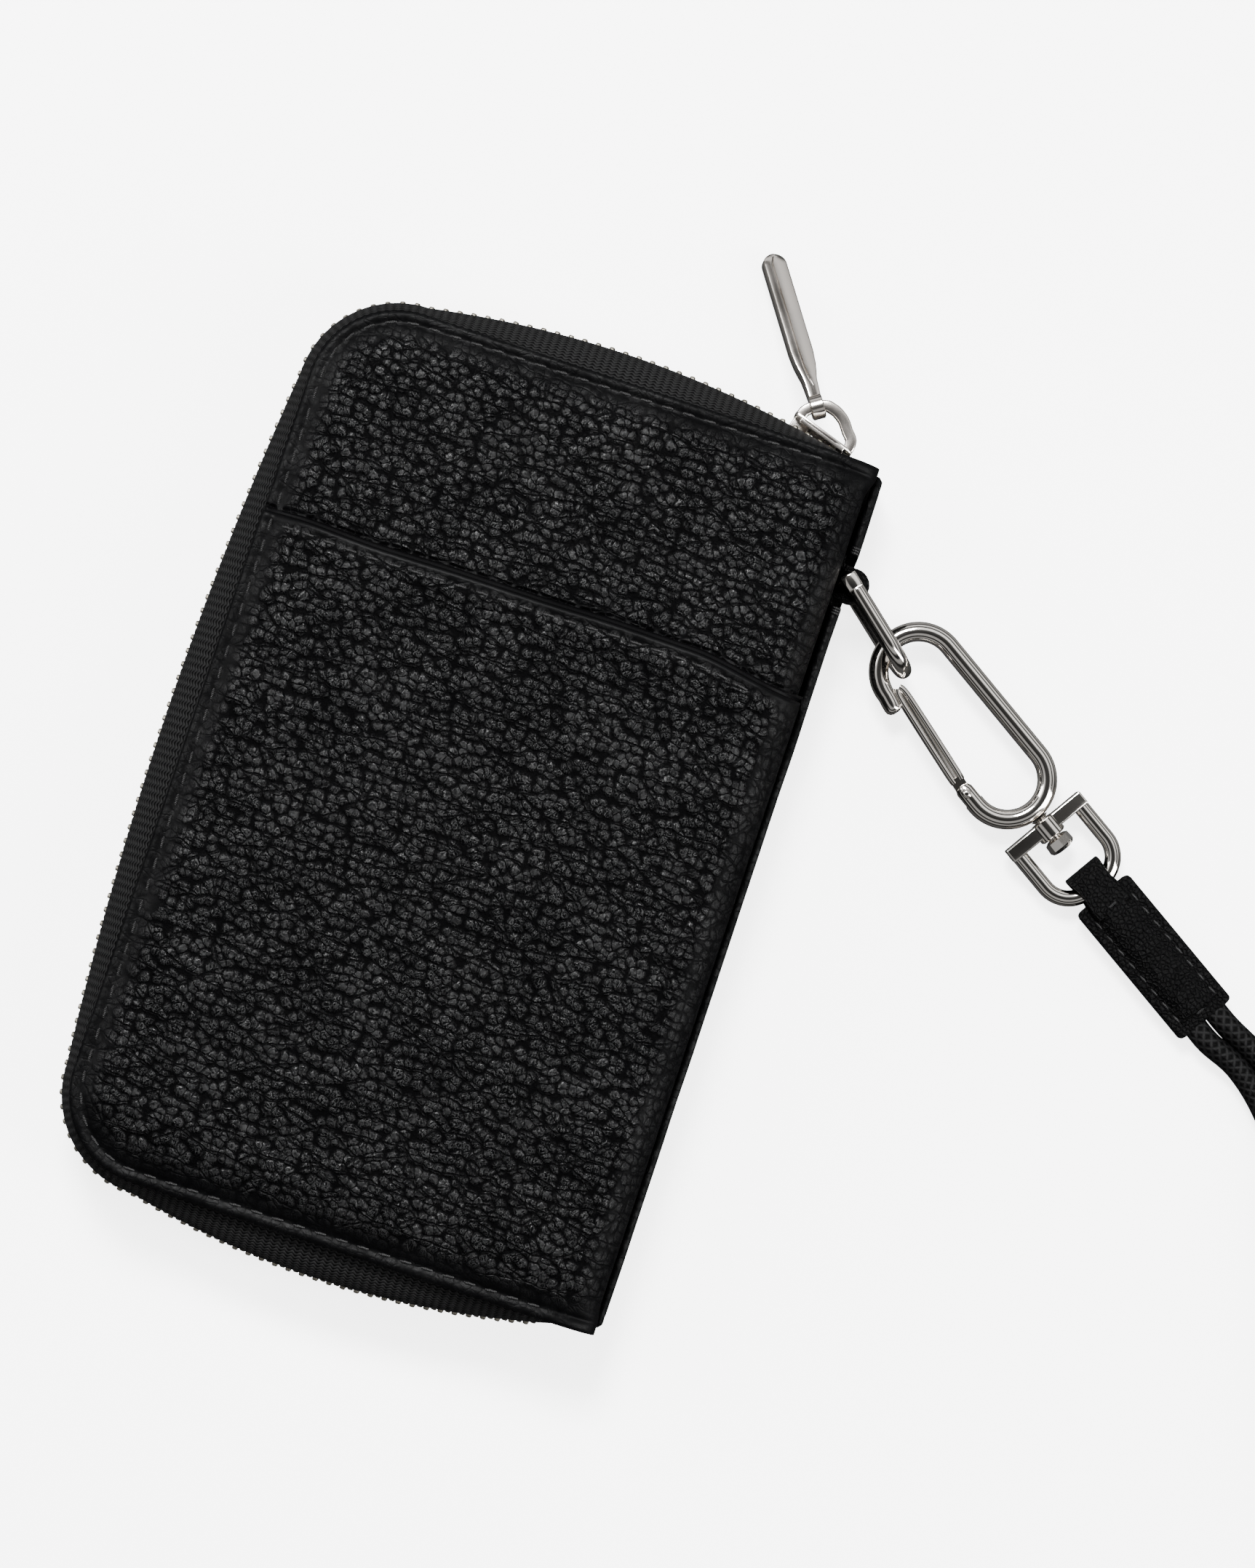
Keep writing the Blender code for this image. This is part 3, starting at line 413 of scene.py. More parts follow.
def plated(name, tone, roughness, smudge=0.05, brushed=0.0):
    """Plated metal with faint smudges and, where asked, fine brushing."""
    s = Shader(name)
    haze = s.solid_noise(160.0, 3.0)
    s.bump(s.scaled(haze, 1.0, s.solid_noise(2500.0, 2.0)), 0.002 + 0.01 * brushed)
    warm = tuple(c * k for c, k in zip(tone, (0.93, 0.9, 0.87)))
    s.set(
        Base_Color=s.blend(haze, warm, tone), Metallic=1.0,
        Roughness=s.remap(haze, 0.3, 0.7, roughness, roughness + smudge),
    )
    return s.made


def braided(name):
    """Black braided cord: two sets of strands crossing round it."""
    s = Shader(name)
    parts = s.apart(s.flat())
    along = s.times(parts["X"], 2 * math.pi / 1.7)
    around = s.times(parts["Y"], 8.0)
    left = s.calc("SINE", s.calc("ADD", around, along))
    right = s.calc("SINE", s.minus(around, along))
    strand = s.calc("SINE", s.times(s.calc("ADD", around, s.times(along, 5.0)), 2.0))
    height = s.scaled(strand, 0.12, s.calc("MAXIMUM", left, right))
    s.bump(height, 0.09)
    # Painted shade: the cord is darker where the braid dips between strands.
    share = s.remap(height, -0.6, 1.1, 0.0, 1.0)
    s.set(
        Base_Color=s.blend(share, (0.0007, 0.0007, 0.0007), (0.0021, 0.0021, 0.0022)),
        Specular_IOR_Level=s.remap(height, -0.4, 1.1, 0.03, 0.09), Roughness=0.55,
    )
    return s.made


def board(name):
    s = Shader(name)
    fibre = s.solid_noise(900.0, 4.0)
    s.bump(fibre, 0.05)
    s.set(Base_Color=s.blend(fibre, (0.2, 0.15, 0.1), (0.36, 0.29, 0.2)), Roughness=0.9)
    return s.made


def foam(name):
    s = Shader(name)
    place = s.node("TexCoord").outputs["Object"]
    pores = s.node("TexVoronoi", None, Vector=place, Scale=1800.0).outputs["Distance"]
    s.bump(pores, 0.1)
    s.set(Base_Color=s.blend(pores, (0.55, 0.54, 0.5), (0.35, 0.34, 0.32)), Roughness=0.95)
    return s.made


def make_materials():
    return {
        "leather": pebbled_leather("pebbled_leather"),
        "tab": smooth_leather("tab_leather", (0.0009, 0.0009, 0.001), 0.3, 0.075),
        "smooth": smooth_leather("lining_leather", (0.008, 0.008, 0.0084)),
        "lining": woven("lining_cloth", (0.014, 0.014, 0.0145), 1.8, 1.8, 0.04),
        "tape": woven("zip_tape", (0.0014, 0.0014, 0.0015), 0.9, 0.75, 0.14),
        "thread": thread("thread"),
        "teeth": plated("zip_metal", (0.42, 0.4, 0.34), 0.28, 0.12),
        "nickel": plated("nickel", (0.6, 0.57, 0.54), 0.15, 0.06, 0.1),
        "chrome": plated("polished_nickel", (0.74, 0.715, 0.68), 0.06, 0.04),
        "steel": plated("spring_steel", (0.4, 0.4, 0.4), 0.25, 0.1),
        "cord": braided("braided_cord"),
        "board": board("stiffener_board"),
        "foam": foam("padding_foam"),
    }


# ---------------------------------------------------------------- mesh helpers


def make_mesh(name, points, faces, key, uv=None, grain_and_shade=None, sharp=50):
    """An object from points in millimetres; uv is per point, in millimetres too."""
    mesh = bpy.data.meshes.new(name)
    mesh.from_pydata((np.asarray(points, float) * MM).tolist(), [], faces)
    mesh.materials.append(look[key])
    loops = np.empty(len(mesh.loops), int)
    mesh.loops.foreach_get("vertex_index", loops)
    layer = mesh.uv_layers.new(name="mm")
    flat = np.asarray(uv if uv is not None else np.asarray(points)[:, :2], float)
    layer.data.foreach_set("uv", flat[loops].ravel())
    if grain_and_shade is not None:
        layer = mesh.attributes.new("grain_and_shade", "FLOAT", "POINT")
        layer.data.foreach_set("value", np.asarray(grain_and_shade, float).ravel())
    mesh.shade_smooth()
    mesh.set_sharp_from_angle(angle=math.radians(sharp))
    made = bpy.data.objects.new(name, mesh)
    bpy.context.scene.collection.objects.link(made)
    return made


def fit_piece(piece, body, slot, *replaced):
    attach(piece, body)
    if replaced:
        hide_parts(*replaced)


def add_piece(name, part, key, body, slot, *replaced, sharp=50, grain_and_shade=None):
    """A piece of (points, faces, uv) in a material, riding a body; the slot is not used."""
    points, faces, uv = part
    piece = make_mesh(name, points, faces, key, uv, grain_and_shade, sharp)
    fit_piece(piece, body, slot, *replaced)
    return piece


def flipped(part):
    points, faces, uv = part
    return points, [face[::-1] for face in faces], uv


def grid_faces(rows, columns, close_rows=False, close_columns=False):
    faces = []
    for i in range(rows if close_rows else rows - 1):
        for j in range(columns if close_columns else columns - 1):
            k, m = (i + 1) % rows, (j + 1) % columns
            faces.append((i * columns + j, i * columns + m, k * columns + m, k * columns + j))
    return faces


def loft(rings, closed_path=False):
    """(points, faces, uv) of a skin over closed rings; ends are capped unless the path is closed."""
    rings = np.asarray(rings, float)
    rows, columns = rings.shape[:2]
    faces = grid_faces(rows, columns, closed_path, True)
    if not closed_path:
        faces.append(tuple(range(columns - 1, -1, -1)))
        faces.append(tuple(range((rows - 1) * columns, rows * columns)))
    middle = rings.mean(axis=1)
    along = np.concatenate([[0], np.cumsum(np.linalg.norm(np.diff(middle, axis=0), axis=1))])
    edge = np.linalg.norm(np.diff(rings[rows // 2], axis=0), axis=1)
    round_it = np.concatenate([[0], np.cumsum(edge)])
    uv = np.stack(np.meshgrid(along, round_it, indexing="ij"), axis=-1).reshape(-1, 2)
    return rings.reshape(-1, 3), faces, uv


def joined(parts):
    """Several (points, faces, uv) made one."""
    points, faces, uvs, start = [], [], [], 0
    for part_points, part_faces, part_uv in parts:
        points.append(part_points)
        uvs.append(part_uv)
        faces += [tuple(i + start for i in face) for face in part_faces]
        start += len(part_points)
    return np.concatenate(points), faces, np.concatenate(uvs)


def placed(part, matrix):
    points, faces, uv = part
    turn = np.array(matrix.to_3x3())
    return points @ turn.T + np.array(matrix.translation), faces, uv


def arc(centre, radius, start, end, steps):
    """Points on an arc in degrees, both ends included."""
    angles = np.radians(np.linspace(start, end, steps + 1))
    return [(centre[0] + radius * math.cos(a), centre[1] + radius * math.sin(a)) for a in angles]


def wire(path, radii, sides=28, closed=False, square=None):
    """A wire along a path in the local XY plane: round, or with flats when given a corner share."""
    path = np.asarray(path, float)
    count = len(path)
    if closed:
        along = np.roll(path, -1, axis=0) - np.roll(path, 1, axis=0)
    else:
        along = np.gradient(path, axis=0)
    along /= np.linalg.norm(along, axis=1)[:, None]
    radii = np.broadcast_to(np.asarray(radii, float), (count,))[:, None]
    if square:
        across, upward = np.array(rounded_rectangle(1.0, 1.0, square, 3)).T
    else:
        turns = np.linspace(0, 2 * math.pi, sides, endpoint=False)
        across, upward = np.cos(turns), np.sin(turns)
    rings = np.empty((count, len(across), 3))
    rings[:, :, 0] = path[:, :1] - along[:, 1:] * radii * across
    rings[:, :, 1] = path[:, 1:] + along[:, :1] * radii * across
    rings[:, :, 2] = radii * upward
    return loft(rings, closed)


def turned(profile, sides=32):
    """A solid turned about the local X axis from (x, radius) points."""
    turns = np.linspace(0, 2 * math.pi, sides, endpoint=False)
    rings = [[(x, r * math.cos(a), r * math.sin(a)) for a in turns] for x, r in profile]
    return loft(rings)


def rounded_rectangle(half_a, half_b, radius, steps=4):
    corners = [(1, 1, 0), (-1, 1, 90), (-1, -1, 180), (1, -1, 270)]
    found = []
    for sign_a, sign_b, start in corners:
        centre = (sign_a * (half_a - radius), sign_b * (half_b - radius))
        found += arc(centre, radius, start, start + 90, steps)
    return found


def block(half, radius, steps=4):
    """A box about the origin with round edges, made of rings up the local Z axis."""
    rings = []
    for a in np.radians(np.linspace(-90, 90, 2 * steps + 1)):
        inset = radius * (1 - math.cos(a))
        z = math.copysign(half[2] - radius, a) + radius * math.sin(a) if abs(a) > 1e-6 else 0.0
        ring = rounded_rectangle(half[0] - inset, half[1] - inset, max(radius - inset, 0.02), steps)
        rings.append([(x, y, z) for x, y in ring])
    return loft(rings)


def ribbon(path, thickness, low, high, edge=0.25):
    """A strip of leather standing on edge along a 2-D path, with rounded long edges."""
    path = np.asarray(path, float)
    along = np.gradient(path, axis=0)
    along /= np.linalg.norm(along, axis=1)[:, None]
    half = thickness / 2
    section = rounded_rectangle(half, (high - low) / 2, min(edge, half * 0.98), 3)
    rings = [
        [(p[0] - t[1] * a, p[1] + t[0] * a, (low + high) / 2 + b) for a, b in section]
        for p, t in zip(path, along)
    ]
    return loft(rings)


def smoothstep(value, low, high):
    t = np.clip((np.asarray(value, float) - low) / (high - low), 0, 1)
    return t * t * (3 - 2 * t)


def hashed(i, j, seed):
    h = (i * 374761393 + j * 668265263 + seed * 974711) & 0xFFFFFFFF
    h = ((h ^ (h >> 13)) * 1274126177) & 0xFFFFFFFF
    return ((h ^ (h >> 16)) & 0xFFFF) / 32767.5 - 1


def noise(x, y, seed=0):
    """Smooth noise between -1 and 1, one cell to a unit."""
    x, y = np.asarray(x, float), np.asarray(y, float)
    i, j = np.floor(x).astype(np.int64), np.floor(y).astype(np.int64)
    u, v = x - i, y - j
    u, v = u * u * (3 - 2 * u), v * v * (3 - 2 * v)
    low = hashed(i, j, seed) * (1 - u) + hashed(i + 1, j, seed) * u
    high = hashed(i, j + 1, seed) * (1 - u) + hashed(i + 1, j + 1, seed) * u
    return low * (1 - v) + high * v


# ---------------------------------------------------------------- covers


def edge_distance(x, y):
    """How far in from the panel's outline on its three zip sides."""
    up = np.abs(y)
    straight = np.minimum(x + HALF_W, HALF_L - up)
    corner = CORNER_R - np.hypot(x - CORNER_X, up - CORNER_Y)
    return np.where((x < CORNER_X) & (up > CORNER_Y), corner, straight)


def seam_distance(x, y):
    """Where a point is along the seam, for wrinkles that run across it."""
    up = np.abs(y)
    turn = np.arctan2(np.maximum(up - CORNER_Y, 0), np.maximum(CORNER_X - x, 1e-6))
    corner = CORNER_Y + CORNER_R * turn
    top = CORNER_Y + CORNER_R * math.pi / 2 + (x - CORNER_X)
    on_top = (x >= CORNER_X) & (HALF_L - up < x + HALF_W)
    along = np.where(on_top, top, np.where(up > CORNER_Y, corner, up))
    return along * np.where(y < 0, -1, 1) + 300


def crown_height(x, y):
    """Height of the padded leather over its flat foot, with its seam and the wrinkles beside it."""
    inset = edge_distance(x, y)
    rim = EDGE_HEIGHT - 0.45 * np.clip(1 - inset / 0.8, 0, 1) ** 2
    rise = np.clip((inset - 2.5) / 10.5, 0, 1)
    pad = CROWN * (1 - (1 - rise) ** 2.5) + 0.25 * smoothstep(inset, 8, 40)
    seam = -0.3 * np.exp(-(((inset - STITCH_INSET) / 0.5) ** 2))
    beside = np.exp(-(((inset - 4.4) / 1.9) ** 2))
    along = seam_distance(x, y)
    pucker = 0.2 * noise(along / 1.3, inset / 8, 3) + 0.16 * noise(along / 2.6, inset / 9, 5)
    ripple = 0.09 * noise(x / 13, y / 13, 7) + 0.06 * noise(x / 5, y / 5, 9)
    return rim + pad + seam + beside * pucker + ripple * smoothstep(inset, 3, 12)


def cover_columns():
    """Across a cover: (share of the flat width, roll angle) pairs, flat first and then the roll."""
    flat = [(share, 0.0) for share in np.linspace(0, 1, 176)]
    roll = [(1.0, a) for a in np.radians(np.linspace(0, 90, 27))[1:]]
    return np.array(flat + roll)


def cover_rows(high=None):
    """Rows (y, left edge) of a cover up to a height, closer in the round corners."""
    turns = np.radians(np.linspace(0, 90, 46))
    top = [(CORNER_Y + CORNER_R * math.sin(a), CORNER_X - CORNER_R * math.cos(a)) for a in turns]
    middle = [(y, -HALF_W) for y in np.linspace(-CORNER_Y, CORNER_Y, 256)[1:-1]]
    rows = [(-y, x) for y, x in reversed(top)] + middle + top
    if high is not None:
        rows = [row for row in rows if row[0] < high]
        rows += [(high - gap, -HALF_W) for gap in (0.45, 0.3, 0.15, 0.0)]
    return np.array(rows)


def roll_surface(rows, lift, out):
    """(x, y, z, inset) grids of a cover's outer leather, raised by lift and set out by out."""
    columns = cover_columns()
    y = np.repeat(rows[:, :1], len(columns), axis=1)
    left = np.repeat(rows[:, 1:], len(columns), axis=1)
    share, turn = columns[:, 0][None, :], columns[:, 1][None, :]
    out = out + 0.5 + 1.0 * smoothstep(np.abs(y), 70.5, 74.5) * (1 if out == 0 else 0.5)
    x = left + (ROLL_START - left) * share + (ROLL_X + out - ROLL_START) * np.sin(turn)
    flat_x = np.minimum(x, ROLL_START)
    height = FRONT_EDGE_Z + crown_height(flat_x, y)
    hem = 0.22 * np.exp(-(((HALF_L - np.abs(y) - 2.1) / 0.35) ** 2)) * smoothstep(x, 38, 41)
    height = height - hem
    z = ROLL_LOW_Z + (height - ROLL_LOW_Z) * np.cos(turn) ** 0.95 + lift
    return x, y, z, edge_distance(flat_x, y)


def under_lip(grid):
    """Extra columns that turn the roll's foot under."""
    x, y, z = grid
    lip = [(0.15, 0.5), (0.7, 0.75)]
    xs = [x] + [x[:, -1:] - inward for inward, _ in lip]
    zs = [z] + [z[:, -1:] - down for _, down in lip]
    ys = [y] + [y[:, -1:]] * len(lip)
    return np.concatenate(xs, 1), np.concatenate(ys, 1), np.concatenate(zs, 1)


def grain_mask(x, inset):
    """1 where the pebbles stand up, less in the pinched seam and on the roll's stretched side."""
    pinched = 0.12 + 0.88 * smoothstep(inset, 2.8, 7.0)
    rolled = 1 - 0.72 * smoothstep(x, 41.2, 43.6)
    return pinched * rolled


def leather_object(name, grid, mask, thickness):
    x, y, z = grid
    rows, columns = x.shape
    points = np.stack([x, y, z], axis=-1).reshape(-1, 3)
    across = np.concatenate(
        [np.zeros((rows, 1)), np.cumsum(np.hypot(np.diff(x, axis=1), np.diff(z, axis=1)), axis=1)], axis=1
    )
    uv = np.stack([across + x[:, :1], y], axis=-1).reshape(-1, 2)
    made = make_mesh(name, points, grid_faces(rows, columns), "leather", uv, mask.reshape(-1), 65)
    shell = made.modifiers.new("thickness", "SOLIDIFY")
    shell.thickness = thickness * MM
    shell.offset = -1.0
    shell.use_even_offset = False
    return made


def mouth_line(x):
    """The pocket's open edge: a little wavy, and drawn down where it wraps the roll."""
    return POCKET_TOP - 1.9 * smoothstep(x, 26, 46) + 0.3 * noise(x / 14, 0 * x, 21)


def under_mask(mask):
    return np.concatenate([mask, mask[:, -1:], mask[:, -1:]], axis=1)


def front_leather():
    """The cover's leather; just above the pocket, where it lies in the edge's shade, it is made duller and
    its colour painted darker as a painted shade.
    """
    x, y, z, inset = roll_surface(cover_rows(), 0.0, 0.0)
    above = y - mouth_line(x)
    # Painted shade: a band just above the pocket's mouth gets a negative mask value, which the leather
    # material turns into darker colour and less gloss, for the shadow of the pocket's edge.
    shade = smoothstep(above, 1.5, 0.9) * (above > -2)
    mask = grain_mask(x, inset) * (1 - shade) - shade
    made = leather_object("front_leather", under_lip((x, y, z)), under_mask(mask), 1.1)
    fit_piece(made, "front_cover", "leather", "front_panel")


def pocket_leather():
    x, y, z, inset = roll_surface(cover_rows(POCKET_TOP), POCKET_LIFT, 0.85)
    from_mouth = POCKET_TOP - y
    near = smoothstep(from_mouth, 22, 0)
    y = y + (mouth_line(x) - POCKET_TOP) * near
    fold = -0.6 * np.clip(1 - from_mouth / 0.5, 0, 1) ** 2
    seam = -0.25 * np.exp(-(((from_mouth - 2.0) / 0.45) ** 2))
    gape = 0.6 * smoothstep(from_mouth, 7, 0) * smoothstep(inset, 3, 16)
    z = z + fold + seam + gape
    mask = grain_mask(x, inset) * smoothstep(from_mouth, 0.5, 3.5)
    made = leather_object("pocket_leather", under_lip((x, y, z)), under_mask(mask), 1.15)
    fit_piece(made, "front_cover", "leather", "front_pocket")


def back_leather():
    rows = cover_rows()
    columns = np.linspace(0, 1, 150)[None, :]
    right = box_mm("back_panel")[1].x
    left = rows[:, 1:]
    x = left + (right - left) * columns
    y = np.repeat(rows[:, :1], columns.shape[1], axis=1)
    inset = edge_distance(x, y)
    height = 0.5 * (1 - smoothstep(inset, 1.2, 6.5)) + 0.25 * np.exp(-(((inset - STITCH_INSET) / 0.5) ** 2))
    height += 0.4 * np.clip(1 - inset / 0.8, 0, 1) ** 2
    across = x[:, ::-1]
    points = (across, y, height[:, ::-1])
    mask = grain_mask(x, inset)[:, ::-1]
    made = leather_object("back_leather", points, mask, 1.3)
    fit_piece(made, "back_cover", "leather", "back_panel")


# ---------------------------------------------------------------- stitches


def stitch(length, radius, rings=11, sides=10):
    """One stitch of two-ply thread along local X, arched so that both ends dive into the leather."""
    found = []
    for t in np.linspace(0, 1, rings):
        x = (t - 0.5) * length
        arch = math.sin(math.pi * t)
        z = -0.34 + 0.4 * arch**0.6
        girth = radius * (0.55 + 0.45 * arch**0.5)
        twist = 2.4 * math.pi * t
        ring = []
        for a in np.linspace(0, 2 * math.pi, sides, endpoint=False):
            lobe = girth * (0.72 + 0.28 * abs(math.cos(a - twist)))
            ring.append((x, lobe * math.cos(a) * 1.25, z + lobe * math.sin(a)))
        found.append(ring)
    return loft(found)


def stitch_row(path, length=STITCH_LENGTH, pitch=STITCH_PITCH, radius=THREAD_R, slant=4.0):
    """Stitches along a 3-D path; +Z of each is the path's own up."""
    path = np.asarray(path, float)
    steps = np.linalg.norm(np.diff(path, axis=0), axis=1)
    reach = np.concatenate([[0], np.cumsum(steps)])
    count = max(1, int(reach[-1] // pitch))
    template = stitch(length, radius)
    parts = []
    for k in range(count):
        middle = (k + 0.5) * reach[-1] / count
        ends = [
            np.array([np.interp(at, reach, path[:, i]) for i in range(3)])
            for at in (middle - length / 2, middle + length / 2)
        ]
        along = Vector(ends[1] - ends[0]).normalized()
        side = UP.cross(along).normalized()
        up = along.cross(side)
        turn = Matrix((along, side, up)).transposed().to_4x4()
        turn = turn @ Matrix.Rotation(math.radians(slant + 2.5 * float(hashed(k, 7, 1))), 4, "Z")
        turn.translation = Vector((ends[0] + ends[1]) / 2)
        parts.append(placed(template, turn))
    return joined(parts)


def seam_path(inset, right):
    """(x, y) round the three zip sides at an inset, from the slider's end to the far end."""
    radius = CORNER_R - inset
    top = HALF_L - inset
    xs = np.linspace(right, CORNER_X, 60)
    found = [(x, top) for x in xs]
    found += arc((CORNER_X, CORNER_Y), radius, 90, 180, 24)[1:]
    found += [(-HALF_W + inset, y) for y in np.linspace(CORNER_Y, -CORNER_Y, 120)[1:]]
    found += arc((CORNER_X, -CORNER_Y), radius, 180, 270, 24)[1:]
    found += [(x, -top) for x in xs[::-1][1:]]
    return np.array(found)


def front_stitches():
    flat = seam_path(STITCH_INSET, 38.0)
    on_pocket = flat[:, 1] < POCKET_TOP
    base = FRONT_EDGE_Z + crown_height(flat[:, 0], flat[:, 1]) + np.where(on_pocket, POCKET_LIFT, 0.0)
    seam = np.column_stack([flat, base])
    upper, lower = seam[~on_pocket], seam[on_pocket]
    mouth_x = np.linspace(-HALF_W + 3.2, ROLL_START, 80)
    mouth_y = mouth_line(mouth_x) - 2.0
    gape = 0.6 * smoothstep(2.0, 7, 0) * smoothstep(edge_distance(mouth_x, mouth_y), 3, 16)
    mouth_z = FRONT_EDGE_Z + crown_height(mouth_x, mouth_y) + POCKET_LIFT - 0.2 + gape
    mouth = np.column_stack([mouth_x, mouth_y, mouth_z])
    parts = [stitch_row(upper), stitch_row(lower), stitch_row(mouth, slant=2.0)]
    add_piece("front_stitches", joined(parts), "thread", "front_cover", "cord")


def back_stitches():
    flat = seam_path(STITCH_INSET, 38.0)
    seam = np.column_stack([flat, np.full(len(flat), -0.62)])
    part = flipped(stitch_row(seam))
    part[0][:, 2] *= -1
    add_piece("back_stitches", part, "thread", "back_cover", "cord")


# ---------------------------------------------------------------- spine and ring tab


def spine_section(outer):
    """Closed (x, z) section of the spine wall with its foot, out to the given x."""
    inner = outer - SPINE_WALL
    foot = inner - 2.6
    section = [(foot, 0.05), (inner - 0.6, 0.0)]
    section += arc((outer - 2.4, 2.4), 2.4, 270, 360, 8)[1:]
    section += [(outer + 0.05, 5.0), (outer + 0.1, 7.5), (outer + 0.05, 10.5)]
    section += arc((outer - SPINE_WALL / 2, SPINE_TOP_Z - 0.85), SPINE_WALL / 2, 0, 180, 10)
    section += [(inner, 10.0), (inner, 6.0), (inner, 2.4)]
    section += [(inner - 0.3, 1.75), (inner - 0.9, 1.5), (foot, 1.5)]
    return section


def spine_leather():
    """The wall runs the whole spine, falls to its foot at the ring's tab, and has turned ends."""
    end = HALF_L - 1.0
    tab_y = joint_place("ring_swing").y
    gap = TAB_R + 0.9
    stations = sorted(
        [*np.linspace(-end, end, 230)]
        + [tab_y + side * (gap + step) for side in (-1, 1) for step in (0.0, 0.12, 0.3, 0.6, 1.0)]
    )
    rings, mask = [], []
    for y in stations:
        from_end = end - abs(y)
        tuck = 1.0 - math.sqrt(max(0.0, 1 - (1 - min(from_end, 1.3) / 1.3) ** 2))
        hem = 0.18 * math.exp(-(((from_end - 1.7) / 0.3) ** 2))
        beside = abs(y - tab_y) - gap
        stand = float(smoothstep(beside, 0.0, 1.0)) ** 0.5
        drift = 0.07 * float(noise(y / 9, 0.3, 31))
        ring = []
        for x, z in spine_section(HALF_W - 0.1):
            top = 1.5 + (z - 1.5) * stand if z > 1.5 else z
            outwards = 1.0 if x > HALF_W - 1.0 else 0.0
            ring.append((x - outwards * (0.7 * tuck + hem - drift), y, top - 0.5 * tuck * (z > 12)))
            mask.append(0.75 if 1.5 < z < 12.5 and outwards else 0.15)
        rings.append(ring)
    part = loft(rings)
    add_piece("spine_leather", part, "leather", "back_cover", "leather", "spine_panel", sharp=60, grain_and_shade=mask)


def tab_leather():
    """The ring's tab: a loop round the bar and two tails sewn behind the spine wall."""
    place = joint_place("ring_swing")
    low, high = box_mm("ring_tab")
    middle_r = (TAB_R + TAB_HOLE_R) / 2
    behind = low.x + 0.5
    path = [(behind, low.y + 0.2), (behind, place.y - middle_r - 1.2)]
    path += [(behind + 0.4, place.y - middle_r - 0.3)]
    path += arc((place.x, place.y), middle_r, -100, 100, 26)
    path += [(behind + 0.4, place.y + middle_r + 0.3)]
    path += [(behind, place.y + middle_r + 1.2), (behind, high.y - 0.2)]
    strip = ribbon(path, TAB_R - TAB_HOLE_R - 0.05, low.z, high.z, 0.35)
    add_piece("ring_tab_leather", strip, "tab", "back_cover", "leather", "ring_tab", sharp=60)
    ridge = SPINE_TOP_Z + 0.05
    tacks = []
    for side in (-1, 1):
        y = place.y + side * (TAB_R + 2.4)
        row = [(HALF_W - 1.6, y, ridge), (HALF_W - 0.1, y, ridge)]
        for shift in (-0.45, 0.0, 0.45):
            moved = [(px, py + shift, pz) for px, py, pz in row]
            tacks.append(stitch_row(moved, 1.5, 1.5, 0.22, 0.0))
    add_piece("ring_tab_tacks", joined(tacks), "thread", "back_cover", "cord")


# ---------------------------------------------------------------- zip


def bulge_along(distance, half_span, middle, end):
    return end + (middle - end) * (1 - (distance / half_span) ** 2)


def zip_stations(step=0.8):
    """(x, y, normal x, normal y, bulge) along the three zip sides from the slider's end."""
    found = []
    straight = int((TAPE_END_X - CORNER_X) / step)
    bend = 20
    for x in np.linspace(TAPE_END_X, CORNER_X, straight):
        found.append((x, HALF_L, 0.0, 1.0, bulge_along(x, ZIP_END_X, BULGE_TOP, 0.0)))
    first = found[-1][4]
    for k, a in enumerate(np.radians(np.linspace(90, 180, bend + 1))[1:-1], 1):
        n = (math.cos(a), math.sin(a))
        bulge = first + (BULGE_CORNER - first) * float(smoothstep(k / bend, 0, 1))
        found.append((CORNER_X + CORNER_R * n[0], CORNER_Y + CORNER_R * n[1], *n, bulge))
    for y in np.linspace(CORNER_Y, -CORNER_Y, int(2 * CORNER_Y / step)):
        found.append((-HALF_W, y, -1.0, 0.0, bulge_along(y, CORNER_Y, BULGE_SIDE, BULGE_CORNER)))
    last = bulge_along(CORNER_X, ZIP_END_X, BULGE_BOTTOM, 0.0)
    for k, a in enumerate(np.radians(np.linspace(180, 270, bend + 1))[1:-1], 1):
        n = (math.cos(a), math.sin(a))
        bulge = BULGE_CORNER + (last - BULGE_CORNER) * float(smoothstep(k / bend, 0, 1))
        found.append((CORNER_X + CORNER_R * n[0], -CORNER_Y + CORNER_R * n[1], *n, bulge))
    for x in np.linspace(CORNER_X, TAPE_END_X, straight):
        found.append((x, -HALF_L, 0.0, -1.0, bulge_along(x, ZIP_END_X, BULGE_BOTTOM, 0.0)))
    return np.array(found)


def tape_section(bulge, flange_z, side):
    """Closed (out, z) section of one tape: sewn flange, round shoulder, straight run and corded edge."""
    edge_z = ZIP_Z + side * 1.15
    straight_z = ZIP_Z + side * TAPE_STRAIGHT
    middle = [(-TAPE_TUCK, flange_z), (-2.0, flange_z), (-0.9, flange_z)]
    for turn in np.radians(np.linspace(12, 84, 9)):
        out = (bulge + 0.6) * math.sin(turn) - 0.6
        middle.append((out, straight_z + (flange_z - straight_z) * math.cos(turn)))
    middle += [(bulge, straight_z + (edge_z - straight_z) * k) for k in (0.1, 0.4, 0.62)]
    bead = [(bulge, straight_z + (edge_z - straight_z) * k) for k in (0.72, 0.82, 0.92, 1.0)]
    halves = [TAPE / 2 - 0.02] * len(middle) + [0.42, 0.52, 0.46, 0.2]
    middle = np.array(middle + bead)
    along = np.gradient(middle, axis=0)
    along /= np.linalg.norm(along, axis=1)[:, None]
    across = np.column_stack([-along[:, 1], along[:, 0]]) * np.array(halves)[:, None]
    return np.concatenate([middle + across, (middle - across)[::-1]])


